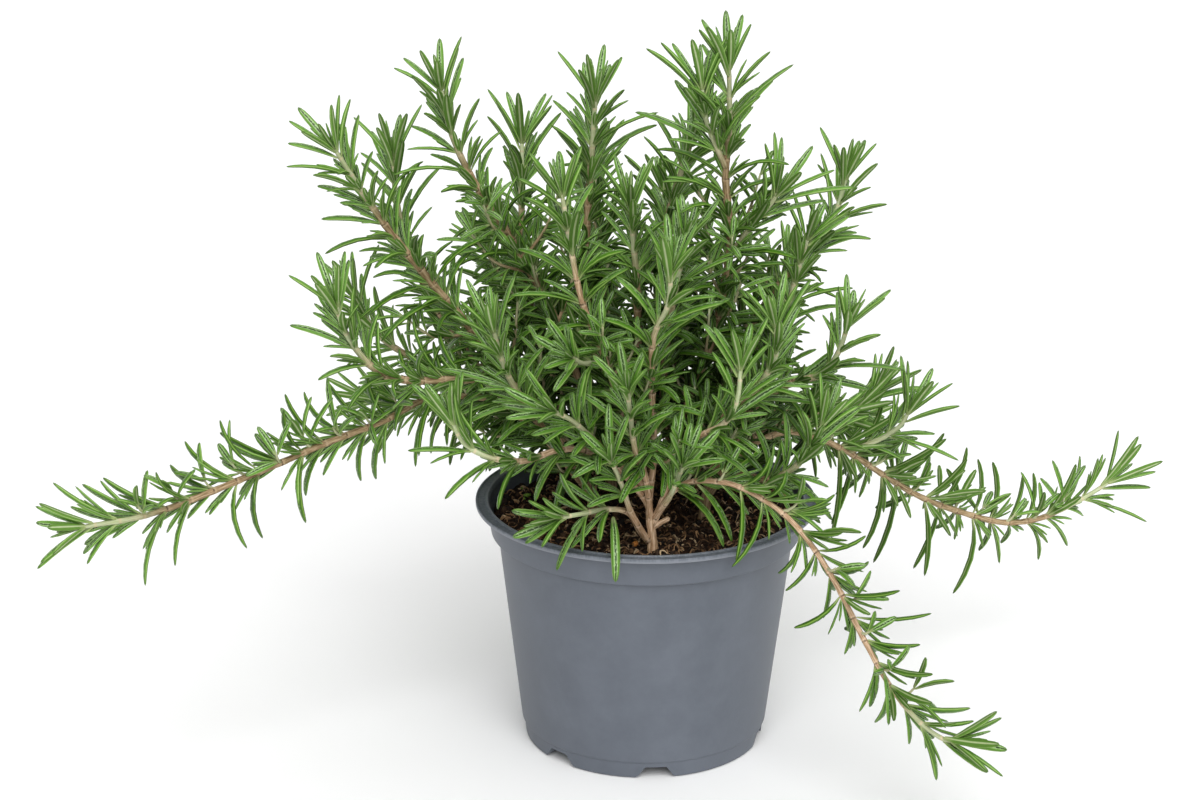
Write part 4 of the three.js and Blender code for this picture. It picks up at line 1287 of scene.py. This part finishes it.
def middle_lines(needles, shares):
    """Points along needles' middle lines, the directions there and the directions across them."""
    columns = {name: np.array([getattr(needle, name) for needle in needles]) for name in Needle._fields}
    opening, bend = columns["opening"][:, None], columns["bend"][:, None]
    angle = opening + bend * shares
    forward = ((np.sin(angle) - np.sin(opening)) / bend)[..., None]
    aside = ((np.cos(opening) - np.cos(angle)) / bend)[..., None]
    tangent, outward = columns["tangent"][:, None], columns["outward"][:, None]
    across = np.cross(tangent, outward)
    pull = across * columns["sway"][:, None, None] - np.array([0, 0, 1]) * columns["droop"][:, None, None]
    offset = forward * tangent + aside * outward + pull * (shares ** 2 / 2)[:, None]
    points = columns["root"][:, None] + offset * columns["length"][:, None, None]
    heading = np.cos(angle)[..., None] * tangent + np.sin(angle)[..., None] * outward
    directions = unit(heading + pull * shares[:, None])
    across = unit(across - directions * (across * directions).sum(-1, keepdims=True))
    return points, directions, across


class Shape:
    """The rings and cut that needles of one size are drawn with."""

    def __init__(self, cut_line, shares):
        self.cut_line = cut_line
        self.shares = np.array(shares)
        self.sleeve = Sleeve(cut_line[:, 0], shares)

    def add(self, piece, needles):
        points, directions, across = middle_lines(needles, np.concatenate([self.shares, [0, 1]]))
        upper = np.cross(directions, across)
        widths = np.array([needle.width for needle in needles])[:, None]
        half = widths / 2 * np.interp(self.shares, *WIDTH_AT)
        rings = len(self.shares)
        spread = across[:, :rings, None] * self.cut_line[:, 1, None]
        spread = spread + upper[:, :rings, None] * self.cut_line[:, 2, None]
        corners = points[:, :rings, None] + spread * half[..., None, None]
        count = len(needles)
        corners = np.concatenate([corners.reshape(count, -1, 3), points[:, rings:]], 1)
        ages = np.array([(needle.age, needle.shade) for needle in needles])
        quads = self.values(self.sleeve.quad_places, ages)
        triangles = self.values(self.sleeve.triangle_places, ages)
        layers = {name: (quads[name], triangles[name]) for name in quads}
        piece.add(corners, self.sleeve, layers, (np.arange(count) * corners.shape[1])[:, None, None])

    @staticmethod
    def values(places, ages):
        """Corner values: needles of one age and shade look alike and share one cell of the map."""
        shape = (len(ages), *places.shape[:-1])
        spots = np.broadcast_to(places, (*shape, 2))
        age, shade = (np.broadcast_to(column[:, None, None], shape) for column in ages.T)
        inner = in_cell(spots, 0, 1, 0, 1)
        across = (age * AGES + inner[..., 0]) / AGES
        up = (shade * SHADES + inner[..., 1]) / SHADES
        zero = np.zeros(shape)
        return {
            "needle": np.concatenate([spots, zero[..., None]], -1),
            "needle_age": np.stack([age, shade, zero], -1),
            "OFBake": np.stack([across, up], -1),
        }


FINE = Shape(FINE_CUT, FINE_SHARES)
MIDDLE = Shape(FINE_CUT, MIDDLE_SHARES)
PLAIN = Shape(PLAIN_CUT, PLAIN_SHARES)


class Stem:
    """One leafy stem: its runs, and what the needles on them need to know."""

    def __init__(self, owner, trunk, name, corners):
        self.owner, self.trunk, self.name = owner, trunk, name
        self.growth = GROWTH.get(name, 1)
        self.is_in_front = trunk == "front"
        self.is_trailing = name in TRAILING_STEMS
        self.widening = FRONT_WIDENING if self.is_in_front else 1
        self.thinning = FRONT_THINNING if self.is_in_front else 1
        self.spacing = NODE_SPACING
        if self.is_in_front or self.is_trailing:
            self.spacing = WIDE_SPACING
        line = smooth_line([LOW_BRANCH if name in LOW_STEMS else TRUNKS[trunk]["fork"], *corners])
        wood_end = lengths_along(line)[WOOD_CORNERS * CURVE_DIVISIONS]
        leafy_from = wood_end * (DROOPING_LEAFY_FROM if name == DROOPING_STEM else 1)
        self.whole = Run(line, STEM_STEP, FORK_OVERLAP / 2)
        self.wood_length = wood_end - FORK_OVERLAP / 2
        self.leafy = Run(line, STEM_STEP, leafy_from + BUTT_GAP)
        self.shoots = [Run(smooth_line(shoot), STEM_STEP) for shoot in SIDE_SHOOTS.get(name, ())]
        self.leafy_runs = [self.leafy, *self.shoots]

    def chance(self, number, kind):
        return chance(self.owner, number, kind)


class Plant:
    """The needles and shoots of the whole plant, grown one after the other into the same space."""

    def __init__(self):
        self.space = Space()
        self.needles = {}
        self.grown = 0

    def place(self, stem, shape, frame_at, radius, around, least, own_share=ROOT_SHARE, **form):
        """Grows one needle, turned or shortened where something is in the way, or leaves it out."""
        point, tangent, side, up = frame_at
        self.grown += 1
        number, owner = self.grown, stem.owner
        # Depth in the bush makes needles older and darker, partly painting the shade inside it, and sets
        # most of their painted shade
        depth = depth_at(point)
        age = form.pop("age") + AGE_INSIDE * depth + AGE_SPREAD * (chance(number, owner, "age") - 0.5)
        age = quantised(age + AGE_IN_FRONT * stem.is_in_front, AGES)
        shade = quantised(lerp(chance(number, owner, "shade"), depth, SHADE_BY_DEPTH), SHADES)
        sway = SWAY * (chance(number, owner, "sway") - 0.5)
        length = form.pop("length")
        tries = []
        for share, turn in product(TRIED_LENGTHS, TRIED_TURNS):
            outward = side * math.cos(around + turn) + up * math.sin(around + turn)
            tries.append(Needle(
                root=point + outward * radius * 0.5, tangent=tangent, outward=outward, sway=sway, age=age,
                shade=shade, length=length * share, **form))
        for needle, points in zip(tries, middle_lines(tries, SAMPLE_SHARES)[0]):
            if self.is_clear(points, owner, least, own_share):
                self.space.take(points[1:], owner)
                self.needles.setdefault((stem.trunk, shape), []).append(needle)
                return

    def place_leaf(self, stem, shape, leaf, size, spread, *where):
        """Grows a small leaf of one kind; size and spread are draws from 0 to 1."""
        self.place(
            stem, shape, *where,
            length=leaf.length + leaf.longer * size,
            width=leaf.width + leaf.wider * size,
            opening=leaf.opening + leaf.more_open * spread,
            bend=leaf.bend,
            droop=leaf.droop,
            age=leaf.age)

    def is_clear(self, points, owner, least, own_share):
        if not is_in_the_open(points):
            return False
        for share, point in zip(SAMPLE_SHARES, points.tolist()):
            for other, is_stem in self.space.near(point, least):
                if other != owner or not (is_stem or share <= own_share):
                    return False
        return True


def depth_at(point):
    """How far inside the bush a place is: 1 in its middle and 0 at its outside."""
    return 1 - smoothstep(np.linalg.norm((point - BUSH_MIDDLE) / BUSH_REACH), *BUSH_EDGE)


def quantised(value, steps):
    """A share, taken down to one of that many equal steps."""
    return math.floor(min(max(value, 0), 0.999) * steps) / steps


def grow_placed(plant, stems):
    """The one needle whose place over the rim the front view shows plainly."""
    stem = next(stem for stem in stems if stem.name == PLACED_STEM)
    root = np.array(PLACED_ROOT, float)
    distance = np.linalg.norm(PLACED_TIP - root)
    along = (PLACED_TIP - root) / distance
    side = unit(np.cross(along, (0, 0, 1)))
    plant.place(
        stem, FINE, (root, along, side, np.cross(along, side)), 0, math.pi / 2, LEAST_SPACE_TINY,
        length=distance * PLACED_BEND / 2 / math.sin(PLACED_BEND / 2), width=PLACED_WIDTH,
        opening=-PLACED_BEND / 2, bend=PLACED_BEND, droop=0, age=PLACED_AGE)


def grow_tip(plant, stem, run):
    """The upright needles round a stem's tip, and the small pale ones among them."""
    for needle in range(TUFT_NEEDLES):
        turn = needle / TUFT_NEEDLES + TURN_SPREAD * stem.chance(needle, "tuft_turn")
        share = TUFT_SHORTEST + TUFT_LENGTH_SPREAD * stem.chance(needle, "tuft_length")
        plant.place(
            stem, FINE, run.from_tip(TUFT_SETBACK), TIP_RADIUS, turn * 2 * math.pi, LEAST_SPACE_SMALL,
            length=NEEDLE_LENGTH * stem.growth * share,
            width=NEEDLE_WIDTH * TUFT_NARROWING * stem.widening,
            opening=TUFT_OPENING + TUFT_OPENING_SPREAD * stem.chance(needle, "tuft_opening"),
            bend=TUFT_BEND,
            droop=TUFT_DROOP,
            age=TUFT_AGE)
    for needle in range(INNER_TUFT_NEEDLES):
        around = needle * GOLDEN_TURN + stem.owner
        size, spread = (stem.chance(needle + more, "inner_tuft") for more in (0, 50))
        plant.place_leaf(
            stem, PLAIN, INNER_TUFT, size, spread,
            run.from_tip(INNER_TUFT_SETBACK), TIP_RADIUS, around, LEAST_SPACE_TINY)


def node_distances(run, spacing):
    """How far each pair of needles is from the tip of its stem."""
    return np.arange(FIRST_NODE * spacing / NODE_SPACING, run.length - LAST_NODE, spacing).tolist()


def facing(stem, frame_at, node, half):
    """The turn about its stem of one needle of a pair.

    Each pair is turned an eighth from the last; a trailing stem's stand above, below and behind it."""
    if not stem.is_trailing:
        return ((node - 1) * 0.25 + half) * math.pi + stem.owner
    _, _, side, up = frame_at
    upward = math.atan2(up[2], side[2])
    backward = math.copysign(1, up[1] * math.cos(upward) - side[1] * math.sin(upward))
    lean = TRAILING_LEAN * (stem.chance(node * 2 + half, "axil_count") - TRAILING_BALANCE)
    if node % 3 == 2:
        lean = TRAILING_BACK_LEAN
    return upward + half * math.pi + lean * backward * (1 - 2 * half)


def grow_pairs(plant, stem, run):
    """Opposite pairs of needles down a stem."""
    for (node, from_tip), half in product(enumerate(node_distances(run, stem.spacing)), (0, 1)):
        frame_at = run.from_tip(from_tip)
        maturity = smoothstep(from_tip, 0, YOUNG_LENGTH)
        needle = node - 1 + half if node % 2 else 1000 + node * 2 + half
        turn = TURN_SPREAD * (stem.chance(needle, "node_turn") - 0.5)
        around = facing(stem, frame_at, node, half) + turn * math.pi
        opening = lerp(YOUNG_OPENING, MATURE_OPENING, maturity)
        share = WHORL_SHORTEST + WHORL_LENGTH_SPREAD * stem.chance(needle, "node_length")
        share *= lerp(NEWEST_LENGTH, 1, smoothstep(from_tip, 0, NEWEST_REACH))
        plant.place(
            stem, FINE, frame_at, STEM_RADIUS, around, LEAST_SPACE,
            length=NEEDLE_LENGTH * stem.growth * share,
            width=NEEDLE_WIDTH * stem.widening * lerp(*WIDTH_RANGE, stem.chance(needle, "width")),
            opening=opening + OPENING_SPREAD * (stem.chance(needle, "node_opening") - 0.5),
            bend=lerp(YOUNG_BEND, MATURE_BEND, maturity) * lerp(*DRAWN_RANGE, stem.chance(needle, "bend")),
            droop=DROOP * maturity,
            age=smoothstep(from_tip, *AGEING))


def grow_axils(plant, stem, run):
    """Tufts of small leaves where the needles meet their stem, with one larger leaf beside each needle."""
    for (node, from_tip), half in product(enumerate(node_distances(run, stem.spacing)), (0, 1)):
        if not node:
            continue
        frame_at = run.from_tip(from_tip - AXIL_SETBACK)
        middle = facing(stem, frame_at, node, half)
        number = node * 2 + half
        aside = SECOND_ASIDE * lerp(*DRAWN_RANGE, stem.chance(number, "second_turn"))
        size, spread = stem.chance(number, "second_length"), stem.chance(number, "second_opening")
        around = middle + (aside if node % 2 else -aside)
        plant.place_leaf(
            stem, MIDDLE, SECOND_LEAF, size, spread,
            frame_at, STEM_RADIUS, around, LEAST_SPACE_SMALL, AXIL_OWN_SHARE)
        rise = max(0, frame_at[2][2] * math.cos(middle) + frame_at[3][2] * math.sin(middle))
        kind = AXIL_LEAF._replace(length=AXIL_LEAF.length + AXIL_RISE * rise * stem.is_trailing)
        for leaf in range(AXIL_LEAVES_IN_FRONT if stem.is_in_front else AXIL_LEAVES):
            draw = number * AXIL_LEAVES + leaf
            size, spread = stem.chance(draw, "axil_length"), stem.chance(draw, "axil_opening")
            around = middle + AXIL_TURN_SPREAD * (stem.chance(draw, "axil_turn") - 0.5)
            plant.place_leaf(
                stem, PLAIN, kind, size, spread,
                frame_at, STEM_RADIUS, around, LEAST_SPACE_SMALL, AXIL_OWN_SHARE)


def plan_shoots(plant, stem, habit):
    """Short curved side shoots from a stem's older part, where there is room for them."""
    least_height = SHOOT_LEAST_HEIGHT_IN_FRONT if stem.is_in_front else SHOOT_LEAST_HEIGHT
    shoots = []
    distances = np.arange(SHOOTS_BEGIN, stem.whole.length - habit.from_tip, habit.spacing)
    for count, distance in enumerate(distances, start=1):
        point, tangent, side, up = stem.whole.at(distance)
        turn = stem.chance(count, "shoot_turn") - 0.5
        if habit is UPWARD:
            around = math.atan2(up[2], side[2]) + UPWARD_SPREAD * turn
        elif point[2] < least_height or math.hypot(point[0], point[1]) > SHOOT_REACH:
            continue
        else:
            around = count * GOLDEN_TURN + stem.owner + BUSHY_SPREAD * turn
        outward = side * math.cos(around) + up * math.sin(around)
        opening = SHOOT_OPENING * lerp(*DRAWN_RANGE, stem.chance(count, "shoot_opening"))
        length = habit.shortest + habit.spread * stem.chance(count, "shoot_length")
        first = tangent * math.cos(opening) + outward * math.sin(opening)
        second = unit(first + np.array([0, 0, SHOOT_RISE]))
        corners = [point, point + first * length * 0.5, point + (first + second) * length * 0.5]
        run = Run(smooth_line(corners), SHOOT_STEP)
        crowded = any(plant.space.near(place, LEAST_SPACE) for place in run.points[2:].tolist())
        if crowded or not is_in_the_open(run.points):
            continue
        plant.space.take(run.points[1:], stem.owner, is_stem=True)
        shoots.append(run)
    return shoots


def grow_shoot(plant, stem, run, number, habit):
    """The needles of one short side shoot."""
    count = 0
    for from_tip, half in product(np.arange(SHOOT_SETBACK, run.length - 2, SHOOT_NODE_SPACING), (0, 1)):
        count += 1
        needle = number * 40 + count
        size = habit.needle + habit.needle_spread * stem.chance(needle, "shoot_needle")
        is_inner = from_tip < SHOOT_NODE_SPACING
        opening = SHOOT_INNER_OPENING if is_inner else SHOOT_NEEDLE_OPENING
        around = count // 2 * math.pi / 2 + half * math.pi + number
        plant.place(
            stem, MIDDLE, run.from_tip(from_tip), SHOOT_RADIUS, around, LEAST_SPACE_SMALL, SHOOT_OWN_SHARE,
            length=size * (SHOOT_INNER_LENGTH if is_inner else 1),
            width=NEEDLE_WIDTH * habit.width,
            opening=opening + OPENING_SPREAD * stem.chance(needle, "node_opening"),
            bend=SHOOT_NEEDLE_BEND,
            droop=SHOOT_NEEDLE_DROOP,
            age=lerp(*SHOOT_AGES, smoothstep(from_tip, 0, SHOOT_AGEING_LENGTH)))


def grow(stems):
    """All needles and short side shoots, the largest first."""
    plant = Plant()
    for stem in stems:
        for run in [stem.whole, *stem.shoots]:
            samples = run.points[::max(1, round(STEM_SAMPLE_STEP / run.step))]
            plant.space.take(samples, stem.owner, is_stem=True)
    grow_placed(plant, stems)
    leafy_runs = [(stem, run) for stem in stems for run in stem.leafy_runs]
    for stem, run in leafy_runs:
        grow_tip(plant, stem, run)
    for stem, run in leafy_runs:
        grow_pairs(plant, stem, run)
    side_shoots = {name: [] for name in TRUNKS}
    for stem in stems:
        habit = UPWARD if stem.is_trailing else BUSHY
        grown = side_shoots[stem.trunk]
        for run in plan_shoots(plant, stem, habit):
            grown.append(run)
            grow_shoot(plant, stem, run, len(grown), habit)
    for stem, run in leafy_runs:
        grow_axils(plant, stem, run)
    return plant.needles, side_shoots


# The bark

def swollen(radii, run, nodes):
    """Radii along a run, a little larger where needles grow."""
    places = run.step * np.arange(len(run.points))
    swelling = np.zeros_like(radii)
    for from_tip in nodes:
        swelling += np.exp(-((run.length - from_tip - places) / NODE_REACH) ** 2)
    return radii * (1 + NODE_SWELLING * np.minimum(swelling, 1))


def uneven(radii, sides, seed, amount):
    """Radii for each corner of each ring, with long shallow ridges."""
    angles = np.arange(sides) / sides * 2 * math.pi
    rings = np.arange(len(radii))[:, None]
    ridges = Relief(seed).at(3 + np.cos(angles) + np.sin(angles) * 9, rings * 0.12 + np.zeros(sides), 0.7)
    return radii[:, None] * (1 + amount * ridges)


def add_stem_bark(piece, stem, seed, cell):
    whole = stem.whole
    places = whole.step * np.arange(len(whole.points))
    stem_radius = STEM_RADIUS * stem.thinning * (TRAILING_THICKNESS if stem.is_trailing else 1)
    woody = lerp(WOOD_RADIUS * stem.thinning, stem_radius, places / stem.wood_length)
    thickening = smoothstep(whole.length - places, -THICKENING_LENGTH, THICKENING_LENGTH) * 2 - 1
    leafy = lerp(TIP_RADIUS, stem_radius, thickening)
    nodes = node_distances(stem.leafy, stem.spacing)
    radii = swollen(np.where(places < stem.wood_length, woody, leafy), whole, nodes)
    radii = uneven(radii, STEM_SIDES, seed, STEM_RIDGES)
    add_bark(piece, whole, radii, STEM_SIDES, BROWNING, seed, cell, stem.spacing)


def add_trunk_bark(piece, name, seed, cell):
    foot, fork = TRUNKS[name]["foot"], TRUNKS[name]["fork"]
    bottom = SOIL_LEVEL - HOLE_DEPTH + CLEARANCE
    corners = [(*foot, bottom), (*foot, SOIL_LEVEL), np.array(fork) + (0, 0, FORK_OVERLAP)]
    run = Run(smooth_line(corners), TRUNK_STEP)
    flare = TRUNK_FLARE * np.exp(-((run.points[:, 2] - SOIL_LEVEL - SOIL_CROWN) / TRUNK_FLARE_REACH) ** 2)
    thinning = FRONT_THINNING if name == "front" else 1
    radii = lerp(TRUNK_FOOT_RADIUS, TRUNK_RADIUS, np.linspace(0, 1, len(run.points))) * thinning + flare
    add_bark(piece, run, uneven(radii, TRUNK_SIDES, seed, TRUNK_RIDGES), TRUNK_SIDES, ALL_BROWN, seed, cell)


def make_bark(name, stems, shoots):
    """A trunk with the bare wood, stems and side shoots that grow from it."""
    piece = Piece(f"bark_{name}")
    seed = list(TRUNKS).index(name) * SEEDS_A_TRUNK + TRUNK_SEED
    stubs = [Run(np.array(STUB), TRUNK_STEP)] if name == "front" else []
    columns = len(stems) + 1 + len(stubs)
    add_trunk_bark(piece, name, seed, (0, columns, *WOOD_ROW))
    for index, stem in enumerate(stems, start=1):
        add_stem_bark(piece, stem, seed + index, (index, columns, *WOOD_ROW))
    for stub in stubs:
        radii = np.full(len(stub.points), STUB_RADIUS)
        cell = (columns - 1, columns, *WOOD_ROW)
        add_bark(piece, stub, radii, STEM_SIDES, ALL_BROWN, seed + STUB_SEED, cell)
    for index, run in enumerate(shoots):
        radii = np.linspace(SHOOT_RADIUS, SHOOT_TIP_RADIUS, len(run.points))
        cell = (index, len(shoots), *SHOOT_ROW)
        add_bark(piece, run, radii, SHOOT_SIDES, SHOOT_BROWNING, seed + index, cell)
    own = [run for stem in stems for run in stem.shoots]
    for index, run in enumerate(own):
        radii = np.linspace(STEM_RADIUS * OWN_SHOOT_THICKNESS, TIP_RADIUS, len(run.points))
        radii = swollen(radii, run, node_distances(run, NODE_SPACING))
        cell = (index, len(own), *OWN_SHOOT_ROW)
        add_bark(piece, run, radii, STEM_SIDES, BROWNING, OWN_SHOOT_SEED + index, cell)
    return piece


def make_plant():
    named = [(trunk, name, corners) for trunk, stems in STEMS.items() for name, corners in stems.items()]
    stems = [Stem(owner, *given) for owner, given in enumerate(named)]
    needles, side_shoots = grow(stems)
    bark = bark_material("rosemary_bark", *BARK)
    # The front trunk's lighter bark paints the light that falls on it
    lit_front_bark = bark_material("rosemary_bark_painted_lit", *LIT_FRONT_BARK)
    leaf = needle_material()
    for name in TRUNKS:
        own = [stem for stem in stems if stem.trunk == name]
        wood = make_bark(name, own, side_shoots[name])
        mount(wood.build(lit_front_bark if name == "front" else bark), "bark", f"trunk_{name}")
        foliage = Piece(f"needles_{name}")
        for (trunk, shape), grown in needles.items():
            if trunk == name:
                shape.add(foliage, grown)
        mount(foliage.build(leaf), "leaf", *[f"stem_{stem.name}" for stem in own])


# The studio

CAMERA_PLACE = (-17.7, -1002.7, 469.4)
CAMERA_PITCH = 0.322
CAMERA_ROLL = 0.005
FOCAL_PIXELS = 2799
IMAGE_WIDTH = 1200
SENSOR_WIDTH = 36
FLOOR_SIZE = 9000
FLOOR_BELOW = 0.3

# Each soft light: its bearing and height as seen from the plant and how wide it looks from there, all in
# degrees, and its strength
LIGHTS = {
    "key": (4, 42, 48, 2.4),
    "fill": (62, 30, 60, 0.35),
    "top": (150, 78, 90, 1.3),
}
SKY_STRENGTH = 0.24


def make_floor():
    half = FLOOR_SIZE / 2 * MM
    low = -FLOOR_BELOW * MM
    corners = [(-half, -half, low), (half, -half, low), (half, half, low), (-half, half, low)]
    mesh = bpy.data.meshes.new("studio_floor")
    mesh.from_pydata(corners, [], [(0, 1, 2, 3)])
    mesh.materials.append(Nodes("studio_white").finish(FLOOR_WHITE, 0.9))
    put_in_scene("studio_floor", mesh)


def make_light(name, bearing, height, width, strength):
    light = bpy.data.lights.new(name, "SUN")
    light.angle = math.radians(width)
    light.energy = strength
    put_in_scene(name, light).rotation_euler = (math.radians(90 - height), 0, math.radians(bearing))


def make_camera():
    camera = bpy.data.cameras.new("camera")
    camera.sensor_width = SENSOR_WIDTH
    camera.lens = SENSOR_WIDTH * FOCAL_PIXELS / IMAGE_WIDTH
    camera.clip_end = 100
    holder = put_in_scene("camera", camera)
    turn = Matrix.Rotation(math.pi / 2 - CAMERA_PITCH, 4, "X") @ Matrix.Rotation(CAMERA_ROLL, 4, "Z")
    holder.matrix_world = Matrix.Translation(np.array(CAMERA_PLACE) * MM) @ turn
    bpy.context.scene.camera = holder


def make_sky():
    """A soft even light from all sides, behind which the studio looks white."""
    world = bpy.data.worlds.new("studio")
    world.use_nodes = True
    tree = world.node_tree
    sky = tree.nodes["Background"]
    sky.inputs["Color"].default_value = (1, 1, 1, 1)
    seen = tree.nodes.new("ShaderNodeLightPath").outputs["Is Camera Ray"]
    strength = tree.nodes.new("ShaderNodeMapRange")
    strength.inputs["To Min"].default_value = SKY_STRENGTH
    strength.inputs["To Max"].default_value = 1
    tree.links.new(seen, strength.inputs["Value"])
    tree.links.new(strength.outputs["Result"], sky.inputs["Strength"])
    bpy.context.scene.world = world


def make_studio():
    scene = bpy.context.scene
    scene.view_settings.view_transform = "Standard"
    scene.view_settings.look = "None"
    make_sky()
    make_floor()
    for name, settings in LIGHTS.items():
        make_light(name, *settings)
    make_camera()


make_pot()
make_soil()
make_soil_bits()
make_plant()
make_studio()
